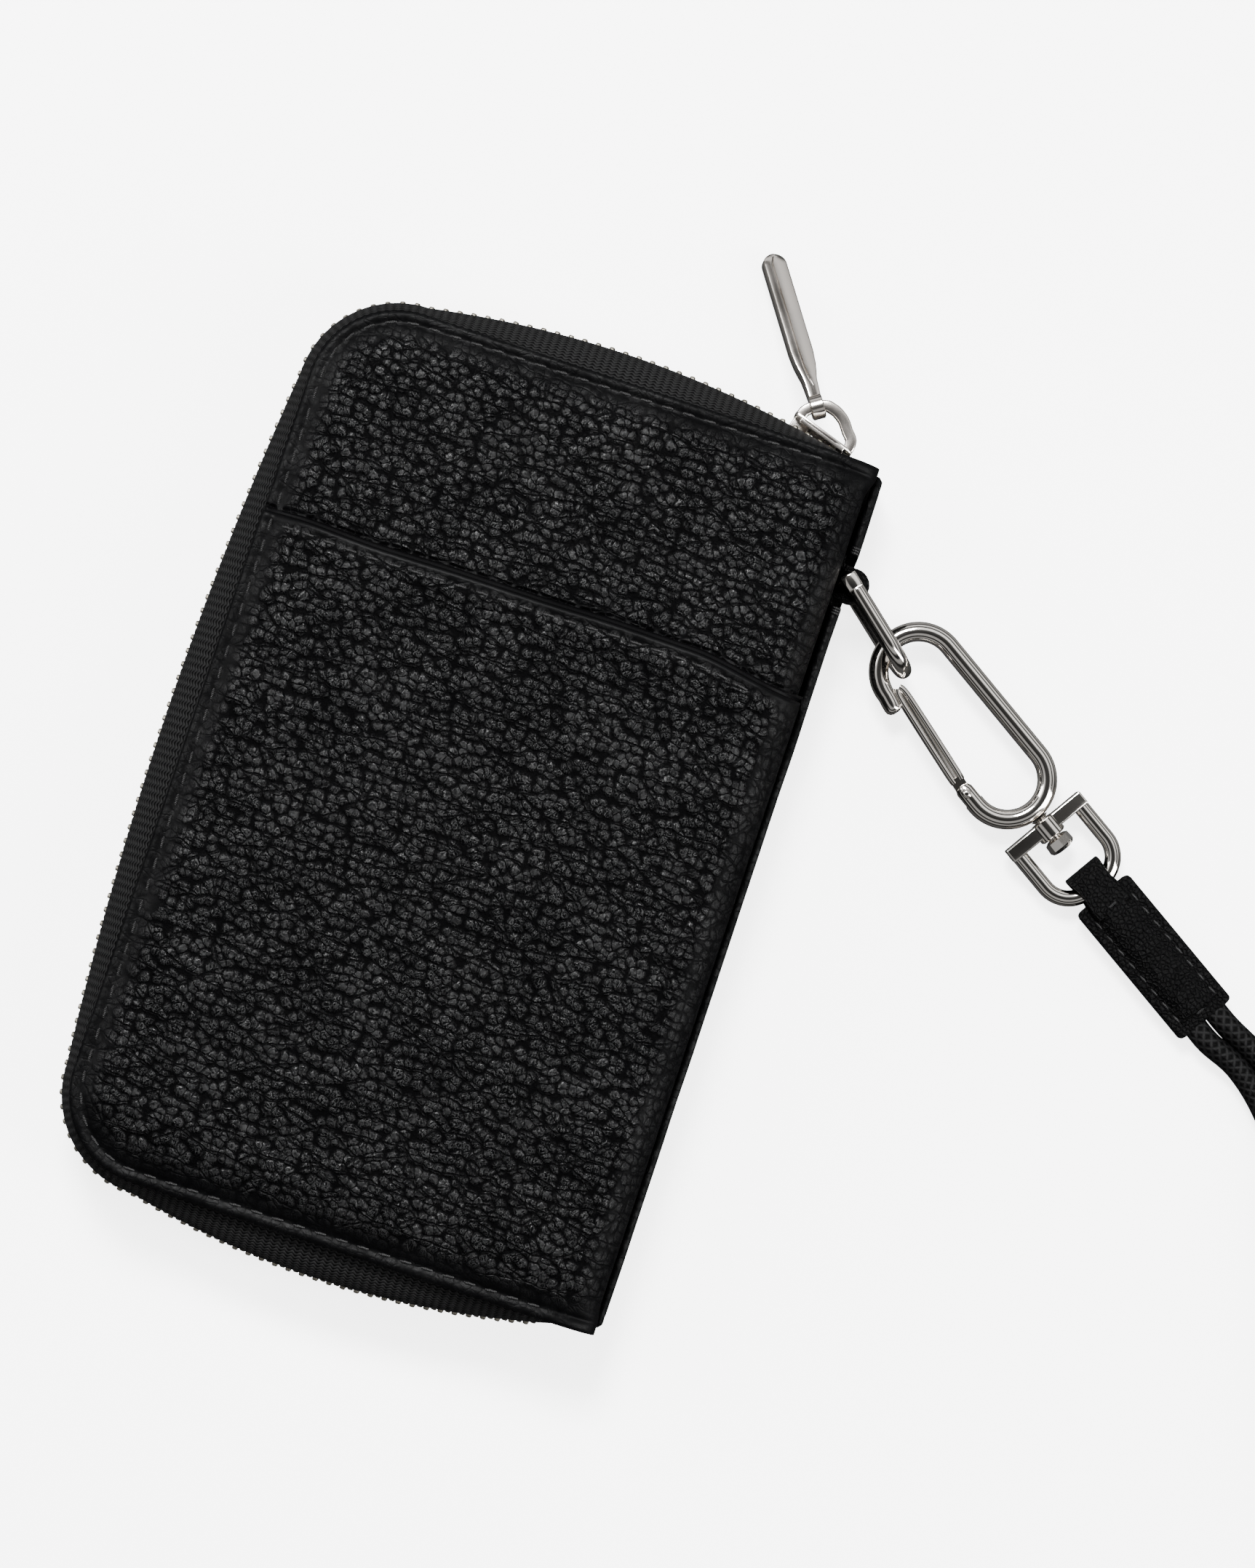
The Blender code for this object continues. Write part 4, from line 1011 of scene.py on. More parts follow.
def tape_flange_z(x, side):
    """The front tape's flange follows the front leather down at the spine."""
    if side < 0:
        return BACK_TAPE_Z
    drop = (FRONT_EDGE_Z - ROLL_FOOT_Z) * float(smoothstep(x, ROLL_X - 7.8, ROLL_X - 1.8))
    return max(FRONT_TAPE_Z - drop, ZIP_Z + TAPE_STRAIGHT + 0.5)


def zip_tape(name, side, body, node):
    rings = []
    for x, y, nx, ny, bulge in zip_stations():
        section = tape_section(bulge, tape_flange_z(x, side), side)
        rings.append([(x + nx * out, y + ny * out, z) for out, z in section])
    part = loft(rings)
    add_piece(name, part, "tape", body, "zip_tape", node, sharp=70)


def tooth(side):
    """One metal tooth: clamped on the tape's cord, with a narrower head that meshes."""
    levels = [
        (-0.5, 0.26, 0.4), (-0.38, 0.4, 0.6), (0.2, 0.5, 0.8), (0.9, 0.52, 1.0),
        (1.5, 0.5, 1.05), (2.05, 0.42, 1.0), (2.3, 0.26, 0.7),
    ]
    rings = []
    for z, half_along, half_out in levels:
        outline = rounded_rectangle(half_along, half_out, min(half_along, half_out) * 0.55, 2)
        rings.append([(a, b, side * z) for a, b in outline])
    points, faces, uv = loft(rings)
    return points, faces if side > 0 else [face[::-1] for face in faces], uv


def zip_teeth(name, side, start_x, body, node):
    stations = zip_stations()
    path = stations[:, :2] + stations[:, 2:4] * stations[:, 4:5]
    reach = np.concatenate([[0], np.cumsum(np.linalg.norm(np.diff(path, axis=0), axis=1))])
    begin = TAPE_END_X - start_x
    finish = reach[-1] - (TAPE_END_X - ZIP_END_X) - 0.6
    template = tooth(side)
    parts = []
    first = math.ceil(begin / TOOTH_PITCH)
    for k in range(first, int(finish / TOOTH_PITCH)):
        at = (k + (0.0 if side > 0 else 0.5)) * TOOTH_PITCH
        here = [np.interp(at, reach, path[:, i]) for i in (0, 1)]
        normal = [np.interp(at, reach, stations[:, i]) for i in (2, 3)]
        out = Vector((normal[0], normal[1], 0)).normalized()
        along = out.cross(UP)
        turn = Matrix((along, out, UP)).transposed().to_4x4()
        turn.translation = Vector((here[0], here[1], ZIP_Z))
        parts.append(placed(template, turn))
    points, faces, uv = joined(parts)
    faces = [face[::-1] for face in faces]
    add_piece(name, (points, faces, uv), "teeth", body, "zip_metal", node, sharp=35)


def slider_plate(offset):
    """One plate of the slider: a tapered outline with round corners, standing in local XZ."""
    half = SLIDER_LENGTH / 2
    tall = SLIDER_HALF_HEIGHT
    outline = [(-half, -tall * 0.72), (-half, tall * 0.72)]
    outline += [(-half + 0.5, tall * 0.9), (-half + 2.2, tall), (half - 3.2, tall), (half - 0.9, tall * 0.86)]
    outline += [(half, tall * 0.6), (half, -tall * 0.6), (half - 0.9, -tall * 0.86), (half - 3.2, -tall)]
    outline += [(-half + 2.2, -tall), (-half + 0.5, -tall * 0.9)]
    rings = []
    edge = 0.16
    for depth, inset in ((0.0, edge), (edge * 0.3, edge * 0.3), (edge, 0.0), (SLIDER_PLATE - edge, 0.0),
                         (SLIDER_PLATE - edge * 0.3, edge * 0.3), (SLIDER_PLATE, edge)):
        shrink_x = (half - inset) / half
        shrink_z = (tall - inset) / tall
        rings.append([(x * shrink_x, offset + depth, z * shrink_z) for x, z in outline])
    return loft(rings)


def slider_piece():
    inner = SLIDER_INNER
    lip = 0.5
    parts = [slider_plate(inner), slider_plate(-inner - SLIDER_PLATE)]
    for side_y in (-1, 1):
        for side_z in (-1, 1):
            rail = block((SLIDER_LENGTH / 2 - 1.4, lip / 2 + 0.15, 0.38), 0.14, 3)
            at = (0, side_y * (inner - lip / 2 + 0.15), side_z * (SLIDER_HALF_HEIGHT - 0.42))
            parts.append(placed(rail, Matrix.Translation(at)))
    web = block((1.6, inner + 0.1, 0.38), 0.2, 3)
    parts.append(placed(web, Matrix.Translation((-SLIDER_LENGTH / 2 + 1.8, 0, 0))))
    part = placed(joined(parts), slider_frame)
    add_piece("slider", part, "nickel", "slider", "nickel", "slider_body", sharp=35)


def bail_path():
    foot = SLIDER_INNER + SLIDER_PLATE + 0.05
    end = SLIDER_LENGTH / 2 - BAIL_WIRE_R
    crest = SLIDER_INNER + SLIDER_PLATE + 0.3 + BAIL_RISE
    corners = [
        (-end, foot), (-end, foot + 0.9), (-end + 0.5, foot + 2.0), (-end + 1.6, crest - 0.9),
        (-end + 2.7, crest - 0.1), (-end + 3.6, crest), (-0.3, crest), (1.4, crest - 0.5),
        (3.0, crest - 1.6), (end - 0.5, foot + 1.7), (end, foot + 0.6), (end, foot),
    ]
    curve = smooth_curve([Vector((x, y, 0)) for x, y in corners], 0.45)
    return [(p.x, p.y) for p in curve]


def bail_piece():
    """The wire bridge that carries the puller, flattened to a rounded strap."""
    points, faces, uv = wire(bail_path(), BAIL_WIRE_R, square=0.3)
    points = points * np.array([1.0, 1.0, 1.1])
    part = placed((points, faces, uv), slider_frame)
    add_piece("slider_bridge", part, "nickel", "slider", "nickel", "slider_bail", sharp=60)


def grooved_bar(stations):
    """A flat bar along X with a narrow groove: stations of (x, width, thickness, groove y, depth)."""
    rings = []
    for x, wide, thick, groove, deep in stations:
        wide, thick = wide / 2, thick / 2
        edge = min(BAR_ROUND, wide * 0.5, thick * 0.5)
        top = [(-wide + edge * k, thick - edge * (1 - math.sqrt(1 - (1 - k) ** 2))) for k in (0.0, 0.3, 1.0)]
        for side, out in ((-1, 1), (-1, 0), (1, 0), (1, 1)):
            top.append((groove + side * (GROOVE_HALF + GROOVE_LIP * out), thick - deep * (1 - out)))
        top += [(-y, z) for y, z in reversed(top[:3])]
        under = [(y, -max(z, thick if abs(y) < wide - edge else z)) for y, z in reversed(top)]
        rings.append([(x, y, z) for y, z in top + under])
    return loft(rings)


def puller_piece():
    """A flat bar with a sunk line on its upper face, necked down to an eye on the bridge."""
    wide, thick = 2 * PULLER_HALF_WIDTH, 2 * PULLER_HALF_THICK
    tip = PULLER_LENGTH + 1.0
    stations = [
        (1.2, 2.2, 1.5, 0.0, 0.0), (2.2, 2.3, 1.6, 0.0, 0.0), (3.8, 2.4, 1.8, 0.0, 0.0),
        (5.2, 2.6, 1.9, 0.3, 0.12), (6.6, 3.2, thick, 0.5, 0.3), (8.2, 3.8, thick, 0.62, 0.3),
        (10.5, wide, thick, 0.7, 0.3), (18.0, wide, thick, 0.7, 0.3),
    ]
    for a in np.radians(np.linspace(0, 84, 12)):
        near = max(0.0, 1.0 - a / 0.9)
        x = tip - wide / 2 + wide / 2 * math.sin(a)
        deep = thick * (0.7 + 0.3 * math.cos(a))
        stations.append((x, wide * math.cos(a), deep, 0.7 * near, 0.3 * near))
    bar = placed(grooved_bar(stations), Matrix.Rotation(math.radians(20), 4, "X"))
    eye = []
    for x, outer in ((-1.15, 1.85), (-0.95, 2.1), (0.95, 2.1), (1.15, 1.85)):
        eye.append((x, outer))
    for x, inner in ((1.15, PULLER_EYE_HOLE), (-1.15, PULLER_EYE_HOLE)):
        eye.append((x, inner))
    turns = np.linspace(0, 2 * math.pi, 32, endpoint=False)
    rings = np.array([[(r * math.sin(a), x, r * math.cos(a)) for x, r in eye] for a in turns])
    barrel = loft(rings, closed_path=True)
    part = placed(joined([bar, barrel]), puller_frame)
    add_piece("zip_pull", part, "nickel", "puller", "nickel", "zip_puller", sharp=32)


def carve(target, tool):
    """Cuts the tool out of the target at once, and removes the tool."""
    step = target.modifiers.new("cut", "BOOLEAN")
    step.operation = "DIFFERENCE"
    step.object = tool
    step.solver = "EXACT"
    graph = bpy.context.evaluated_depsgraph_get()
    result = bpy.data.meshes.new_from_object(target.evaluated_get(graph))
    target.modifiers.clear()
    target.data = result
    target.data.shade_smooth()
    target.data.set_sharp_from_angle(angle=math.radians(38))
    bpy.data.objects.remove(tool)


# ---------------------------------------------------------------- ring, hook and swivel


def ring_piece():
    half = RING_HEIGHT / 2 - RING_WIRE_R
    bow = RING_LENGTH - 2 * RING_WIRE_R
    corner = 1.5
    path = arc((corner, half - corner), corner, 180, 90, 10)
    path += arc((bow - half, 0), half, 90, -90, 40)
    path += arc((corner, corner - half), corner, 270, 180, 10)
    path += [(0.0, z) for z in np.linspace(corner - half, half - corner, 8)[1:-1]]
    flat = wire(path, RING_WIRE_R, 28, closed=True)
    shoulder = block((1.5, RING_WIRE_R - 0.08, RING_WIRE_R - 0.08), 0.35, 3)
    ends = [placed(shoulder, Matrix.Translation((-0.45, side * half, 0))) for side in (-1, 1)]
    made_at = ring_frame @ Matrix.Rotation(math.pi / 2, 4, "X")
    part = placed(joined([flat, *ends]), made_at)
    add_piece("ring", part, "chrome", "ring", "chrome", "d_ring", sharp=60)


def hook_path():
    near = (HOOK_HALF_WIDTH, HOOK_OFFSET)
    far = (HOOK_LENGTH - HOOK_HALF_WIDTH, HOOK_OFFSET)
    gate_side = HOOK_OFFSET - HOOK_HALF_WIDTH
    pivot_x = HOOK_LENGTH - PIVOT_FROM_END
    nose = [(3.0, -0.62), (2.85, -0.6), (2.45, -0.54), (1.9, -0.44), (1.0, -0.25)]
    path = [(near[0] + x, gate_side + y) for x, y in nose]
    radii = [0.45, 0.95, 1.38, 1.55, 1.6]
    bend = arc(near, HOOK_HALF_WIDTH, 268, 90, 44)
    path += bend
    radii += [min(HOOK_WIRE_R, 1.6 + 0.02 * k) for k in range(len(bend))]
    straight = [(x, HOOK_OFFSET + HOOK_HALF_WIDTH) for x in np.linspace(near[0], far[0], 16)[1:-1]]
    turn = arc(far, HOOK_HALF_WIDTH, 90, -90, 44)
    path += straight + turn
    radii += [HOOK_WIRE_R] * (len(straight) + len(turn))
    tail = [(pivot_x + x, gate_side) for x in (1.2, -0.6, -1.35, -1.6)]
    path += tail
    radii += [HOOK_WIRE_R, HOOK_WIRE_R, HOOK_WIRE_R - 0.3, HOOK_WIRE_R - 0.8]
    return path, radii


def hook_piece():
    path, radii = hook_path()
    hook = placed(wire(path, radii, 30), hook_frame)
    made = make_mesh("hook", *hook[:2], "chrome", hook[2], sharp=60)
    pivot_x = HOOK_LENGTH - PIVOT_FROM_END
    gate_side = HOOK_OFFSET - HOOK_HALF_WIDTH
    at = hook_frame @ Matrix.Translation((pivot_x - 1.05, gate_side, 0))
    slot = placed(block((2.95, 4.0, 0.85), 0.2, 3), at)
    carve(made, make_mesh("hook_slot", *slot[:2], "chrome", slot[2]))
    fit_piece(made, "hook", "chrome", "snap_hook")


def gate_piece():
    """Two round rails joined by a thin web, closing to a round tip."""
    rails = []
    for side in (-1, 1):
        line = [(-21.3, 0.25), (-20.7, 0.55), (-19.2, 0.72), (-15.0, 0.78)]
        line += [(-9.0, 0.8), (-4.0, 0.78), (-2.5, 0.7)]
        path = [tuple(at.xy) for at in smooth_curve([Vector((x, side * y, 0.0)) for x, y in line], 0.4)]
        rails.append(wire(path, GATE_RAIL_R, 16))
    web = block((9.0, 0.5, 0.35), 0.1, 2)
    web = (np.asarray(web[0]) + np.array([-11.8, 0.0, -0.15]), web[1], web[2])
    tongue = [(1.1, 0), *arc((0, 0), 1.15, 60, 90, 2), (-3.2, 1.15), (-3.2, -1.15)]
    tongue += arc((0, 0), 1.15, -90, -60, 2)
    leaf = loft([[(x, y, z) for x, y in tongue] for z in (-0.55, 0.55)])
    part = placed(joined([*rails, web, leaf]), gate_frame)
    add_piece("gate", part, "chrome", "gate", "chrome", "hook_gate", sharp=50)


def pin_piece():
    """The gate's rivet with domed heads."""
    half = HOOK_WIRE_R
    profile = [(-half - 0.28, 0.25), (-half - 0.2, 0.62), (-half + 0.05, 0.8), (-half + 0.2, 0.55)]
    profile += [(half - 0.2, 0.55), (half - 0.05, 0.8), (half + 0.2, 0.62), (half + 0.28, 0.25)]
    along = hook_frame.to_3x3().col[0]
    turn = Matrix((hook_z, along, hook_z.cross(along))).transposed().to_4x4()
    at = Matrix.Translation(joint_place("gate_open")) @ turn
    part = placed(turned(profile, 24), at)
    add_piece("gate_rivet", part, "chrome", "hook", "chrome", "gate_pin", sharp=50)


def eye_piece():
    """Flat bar with a barrel for the post, and a round bow."""
    bar_mid = EYE_GAP + EYE_BAR / 2
    end = EYE_GAP + EYE_LENGTH - EYE_WIRE_R
    half = EYE_HALF_WIDTH
    corner = EYE_CORNER_R
    path = [(x, -half) for x in np.linspace(bar_mid, end - corner, 8)[:-1]]
    path += arc((end - corner, -half + corner), corner, 270, 360, 20)
    path += arc((end - corner, half - corner), corner, 0, 90, 20)
    path += [(x, half) for x in np.linspace(end - corner, bar_mid, 8)[1:]]
    bow = wire(path, EYE_WIRE_R, 28)
    bar = block((EYE_BAR / 2, half + EYE_WIRE_R, 1.6), 0.32, 3)
    bar = placed(bar, Matrix.Translation((bar_mid, 0, 0)))
    past = EYE_GAP + EYE_BAR
    profile = [(EYE_GAP - 0.05, 2.1), (EYE_GAP + 0.15, 2.45), (past + 0.5, 2.45), (past + 0.8, 2.1)]
    barrel = turned(profile, 32)
    part = placed(joined([bow, bar, barrel]), swivel_frame)
    add_piece("eye", part, "chrome", "swivel", "chrome", "swivel_eye", sharp=42)


def post_piece():
    """The swivel's post and its faceted head, fixed to the hook."""
    neck_end = EYE_GAP + EYE_BAR + 1.4
    neck = turned([(-0.3, 1.7), (-0.05, 1.35), (0.1, 1.2), (neck_end + 0.1, 1.2)], 28)
    facets = [(-0.35, 1.7), (0.0, 2.3), (1.5, 2.4), (2.0, 2.0), (2.2, 1.3)]
    head = turned([(neck_end + x, r) for x, r in facets], 8)
    part = placed(joined([neck, head]), swivel_frame)
    add_piece("swivel_post", part, "chrome", "hook", "chrome", "swivel_pin", sharp=30)


# ---------------------------------------------------------------- connector and cord


def connector_half_width(x):
    """Half the connector's width along it: the loop's neck, then full width with round corners."""
    shoulder = 1.8
    if x < shoulder:
        return STRAP_LOOP_HALF
    near = min(1.0, (x - shoulder) / 0.9)
    far = min(1.0, max(0.0, STRAP_LENGTH - x) / 0.8)
    ends = min(math.sqrt(1 - (1 - near) ** 2), math.sqrt(1 - (1 - far) ** 2))
    return STRAP_HALF_WIDTH - 0.9 * (1 - ends)


def connector_body():
    """Two layers sewn round the cords: high over the cords, thin at the stitched edges."""
    far_end = STRAP_LENGTH - np.array([0.5, 0.25, 0.08, 0.0])
    xs = np.concatenate([[1.8, 1.95, 2.2, 2.7], np.linspace(3.3, STRAP_LENGTH - 0.8, 130), far_end])
    sides = np.linspace(-1, 1, 49)
    rings = []
    for x in xs:
        wide = connector_half_width(x)
        end = min(x - 1.8, STRAP_LENGTH - x)
        y = sides * wide
        inset = wide - np.abs(y)
        over = smoothstep(inset, 1.3, 4.4)
        rim = 1.3 * (1 - 0.35 * np.clip(1 - inset / 0.5, 0, 1) ** 2)
        top = rim + (STRAP_HALF_THICK - 1.3) * over * float(smoothstep(end, 0.4, 3.2))
        seam = -0.28 * np.exp(-(((inset - 1.7) / 0.4) ** 2)) * float(smoothstep(end, 0.9, 1.4))
        cross = -0.28 * math.exp(-(((STRAP_LENGTH - x - 1.9) / 0.4) ** 2)) * smoothstep(inset, 1.5, 2.0)
        wrinkle = 0.34 * noise(x / 1.5 + 0.3 * np.sin(y), y / 5, 41) + 0.2 * noise(x / 0.8, y / 3, 43)
        top = top + seam + cross + wrinkle * smoothstep(inset, 1.7, 3.0) * float(smoothstep(end, 0.5, 3.0))
        top = np.maximum(top, 0.5) * float(0.75 + 0.25 * smoothstep(end, 0.0, 0.35))
        upper = [(x, a, b) for a, b in zip(y, top)]
        lower = [(x, a, -b) for a, b in zip(y[::-1], top[::-1] * 0.97)]
        rings.append(upper + lower)
    return loft(rings)


def connector_loop():
    """The strip that folds round the eye's bow."""
    radius = 2.4
    path = [(5.0, 2.15), (3.4, 2.25), (1.8, 2.38)] + arc((0.0, 0.0), radius, 84, 276, 26)
    path += [(1.8, -2.38), (3.4, -2.25), (5.0, -2.15)]
    path = [(x if x > 0 else x * 1.42, z) for x, z in path]
    strip = ribbon(path, 0.95, -STRAP_LOOP_HALF, STRAP_LOOP_HALF, 0.3)
    points, faces, uv = strip
    pinch = 1 - 0.13 * np.exp(-(((points[:, 0] + 0.4) / 2.2) ** 2))
    points = np.column_stack([points[:, 0], points[:, 2] * pinch, points[:, 1]])
    return points, [face[::-1] for face in faces], uv


def connector_piece():
    part = placed(joined([connector_body(), connector_loop()]), strap_frame)
    add_piece("connector_leather", part, "tab", "strap", "leather", "strap_tab", sharp=60)
    inset = 1.7
    wide = STRAP_HALF_WIDTH - inset
    last = STRAP_LENGTH - 1.9
    z = 1.15
    rows = [
        [(4.2, -wide, z), (last, -wide, z)],
        [(4.2, wide, z), (last, wide, z)],
        [(last, -wide + 1.2, z + 0.8), (last, wide - 1.2, z + 0.8)],
        [(4.2, -wide + 1.2, z + 1.6), (4.2, wide - 1.2, z + 1.6)],
    ]
    parts = [stitch_row(row, 1.9, 2.7, 0.22, 5.0) for row in rows]
    stitches = placed(joined(parts), strap_frame)
    add_piece("connector_stitches", stitches, "thread", "strap", "cord")


def cord_piece():
    """The braided cord as a mesh tube; its UV map runs along it and round it."""
    path = smooth_curve(cord_route(), 1.2)
    count = len(path)
    sides = 24
    lengths = [0.0]
    rings, uvs = [], []
    for i, here in enumerate(path):
        before, after = path[max(i - 1, 0)], path[min(i + 1, count - 1)]
        along = (after - before).normalized()
        side = UP.cross(along).normalized()
        up = along.cross(side)
        if i:
            lengths.append(lengths[-1] + (here - path[i - 1]).length)
        squeeze = 0.5 + 0.5 * float(smoothstep(min(i, count - 1 - i), 0.5, 4.0))
        for k in range(sides + 1):
            a = 2 * math.pi * k / sides
            rings.append(here + (side * math.cos(a) + up * math.sin(a) * squeeze) * CORD_R)
            uvs.append((lengths[-1], a))
    columns = sides + 1
    faces = grid_faces(count, columns)
    faces.append(tuple(range(sides - 1, -1, -1)))
    faces.append(tuple((count - 1) * columns + k for k in range(sides)))
    faces = [face[::-1] for face in faces]
    part = (np.array(rings), faces, uvs)
    made = add_piece("wrist_loop", part, "cord", "strap", "cord", "wrist_cord", sharp=60)


# ---------------------------------------------------------------- inside


def panel_outline(inset, right):
    """Panel outline: square at the spine, round at the zip corners."""
    top = HALF_L - inset
    radius = CORNER_R - inset
    found = [(right, -top), (right - 1.0, -top)]
    found += arc((CORNER_X, -CORNER_Y), radius, 270, 180, 16)
    found += arc((CORNER_X, CORNER_Y), radius, 180, 90, 16)
    return found + [(right - 1.0, top), (right, top)]


def soft_plate(outline_at, low, high):
    """A flat piece with round edges; outline_at(inset) gives its plan."""
    half = (high - low) / 2
    middle = (high + low) / 2
    rings = []
    for a in np.radians(np.linspace(-90, 90, 7)):
        inset = half * (1 - math.cos(a))
        rings.append([(x, y, middle + half * math.sin(a)) for x, y in outline_at(inset)])
    points, faces, _ = loft(rings)
    faces = [face[::-1] for face in faces]
    return points, faces, points[:, :2].copy()


def lining_piece(name, node, body, slot, key):
    low, high = box_mm(node)
    edge = low.x + HALF_W
    plate = soft_plate(lambda inset: panel_outline(edge + inset, high.x - inset), low.z, high.z)
    add_piece(name, plate, key, body, slot, node, sharp=60)


def leaf_piece(name, node, body, slot, key, face=1):
    """A pocket leaf with round corners and a stitched open edge."""
    low, high = box_mm(node)
    centre = (low + high) / 2
    half = (high - low) / 2

    def outline(inset):
        ring = rounded_rectangle(half.x - inset, half.y - inset, LEAF_CORNER - inset * 0.5, 5)
        return [(centre.x + x, centre.y + y) for x, y in reversed(ring)]

    plate = soft_plate(outline, low.z, high.z)
    add_piece(name, plate, key, body, slot, node, sharp=60)
    z = high.z if face > 0 else low.z
    rows = [
        [(low.x + 1.5, low.y + 2.5, 0), (low.x + 1.5, high.y - 2.5, 0)],
        [(low.x + 2.5, high.y - 1.5, 0), (high.x - 2.0, high.y - 1.5, 0)],
        [(low.x + 2.5, low.y + 1.5, 0), (high.x - 2.0, low.y + 1.5, 0)],
    ]
    points, faces, uv = joined([stitch_row(row, 1.8, 2.6, 0.16, 3.0) for row in rows])
    points[:, 2] = z + face * (points[:, 2] + 0.02)
    faces = faces if face > 0 else [f[::-1] for f in faces]
    add_piece(name + "_stitches", (points, faces, uv), "thread", body, "cord")


def divider_piece():
    """Two leaves folded at the spine side, with rounded edges and a stitched mouth."""
    low, high = box_mm("coin_divider")
    leaf = 0.9
    fold = high.x
    end = high.y
    half = leaf / 2
    top, bottom = high.z - half, low.z + half
    bend = (top - bottom) / 2
    path = [(x, bottom) for x in np.linspace(low.x + 0.3, fold - bend - half, 40)]
    path += arc((fold - bend - half, (top + bottom) / 2), bend, -90, 90, 12)
    path += [(x, top) for x in np.linspace(fold - bend - half, low.x + 0.3, 40)]
    points, faces, uv = ribbon(path, leaf, -end, end, 0.4)
    points = np.column_stack([points[:, 0], points[:, 2], points[:, 1]])
    part = flipped((points, faces, uv))
    add_piece("divider_leaves", part, "smooth", "divider", "lining_leather", "coin_divider", sharp=60)
    rows = [
        [(low.x + 1.8, -end + 2, high.z), (low.x + 1.8, end - 2, high.z)],
        [(low.x + 2.8, end - 1.6, high.z), (fold - 3, end - 1.6, high.z)],
        [(low.x + 2.8, 1.6 - end, high.z), (fold - 3, 1.6 - end, high.z)],
    ]
    parts = joined([stitch_row(row, 1.8, 2.6, 0.16, 3.0) for row in rows])
    add_piece("divider_stitches", parts, "thread", "divider", "cord")


def gusset_piece(name, node, side):
    """A pleated fan of lining."""
    low, high = box_mm(node)
    thick = 0.3
    folds = 5
    zs = np.linspace(low.z + 0.2, high.z - 0.2, folds * 8 + 1)
    phase = (zs - zs[0]) / (zs[-1] - zs[0]) * folds * math.pi
    swing = (high.y - low.y) / 2 - thick
    middle = (high.y + low.y) / 2
    ys = middle + side * swing * np.sin(phase - math.pi / 2) * -1
    xs = np.linspace(low.x, high.x, 40)
    rows = [[(x, y, z) for x in xs] for y, z in zip(ys, zs)]
    points = np.array(rows).reshape(-1, 3)
    reach = np.concatenate([[0], np.cumsum(np.hypot(np.diff(ys), np.diff(zs)))])
    uv = np.stack(np.meshgrid(reach, xs, indexing="ij"), axis=-1).reshape(-1, 2)
    made = make_mesh(name, points, grid_faces(len(zs), len(xs)), "lining", uv, sharp=80)
    shell = made.modifiers.new("thickness", "SOLIDIFY")
    shell.thickness = thick * MM
    shell.offset = 0.0
    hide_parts(node)
    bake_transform(made)


def padding_piece():
    """Foam under the front leather, crowned and thin at its rim."""
    low, high = box_mm("front_padding")
    rows = np.linspace(low.y, high.y, 60)
    columns = np.linspace(low.x, high.x, 44)
    x, y = np.meshgrid(columns, rows)
    inset = np.minimum(np.minimum(x - low.x, high.x - x), np.minimum(y - low.y, high.y - y))
    rise = smoothstep(inset, -1.0, 7.0)
    z = low.z + 0.15 + (high.z - low.z - 0.2) * rise
    top = np.stack([x, y, z], -1).reshape(-1, 3)
    under = np.stack([x, y, np.full_like(z, low.z)], -1).reshape(-1, 3)
    count = len(top)
    faces = grid_faces(len(rows), len(columns))
    faces += [tuple(i + count for i in reversed(face)) for face in faces]
    border = [i for i in range(len(columns))]
    border += [(r + 1) * len(columns) - 1 for r in range(1, len(rows))]
    border += [count - 1 - i for i in range(1, len(columns))]
    border += [r * len(columns) for r in range(len(rows) - 2, 0, -1)]
    for a, b in zip(border, border[1:] + border[:1]):
        faces.append((b, a, a + count, b + count))
    made = make_mesh("front_foam", np.concatenate([top, under]), faces, "foam", sharp=70)
    fit_piece(made, "front_cover", "foam", "front_padding")


def build_inside():
    lining_piece("back_stiffener", "back_board", "back_cover", "board", "board")
    lining_piece("front_stiffener", "front_board", "front_cover", "board", "board")
    lining_piece("back_cloth", "back_lining", "back_cover", "lining", "lining")
    lining_piece("front_cloth", "front_lining", "front_cover", "lining", "lining")
    low, high = box_mm("spine_lining")
    half = (high - low) / 2
    wall = placed(block(tuple(half), 0.15, 3), Matrix.Translation((low + high) / 2))
    add_piece("spine_cloth", wall, "lining", "back_cover", "lining", "spine_lining")
    leaf_piece("note_sleeve", "note_pocket", "back_cover", "lining_leather", "smooth")
    for number in range(1, 5):
        leaf_piece(
            f"card_leaf_{number}", f"card_slot_{number}", "back_cover", "lining_leather", "smooth"
        )
    leaf_piece("phone_sleeve", "phone_pocket", "front_cover", "lining", "lining", face=-1)
    divider_piece()
    gusset_piece("gusset_cloth_top", "gusset_top", 1)
    gusset_piece("gusset_cloth_bottom", "gusset_bottom", -1)
    padding_piece()


def dress_cad():
    """Small CAD pieces that are kept get rounded edges and their own materials."""
    kept = {"top_stop_back": "teeth", "top_stop_front": "teeth", "end_stop": "teeth", "gate_spring": "steel"}
    for node, key in kept.items():
        made = nodes[node]
        made.data.materials.clear()
        made.data.materials.append(look[key])
        soft = made.modifiers.new("edges", "BEVEL")
        soft.width = 0.12 * MM
        soft.segments = 2


# ---------------------------------------------------------------- stage


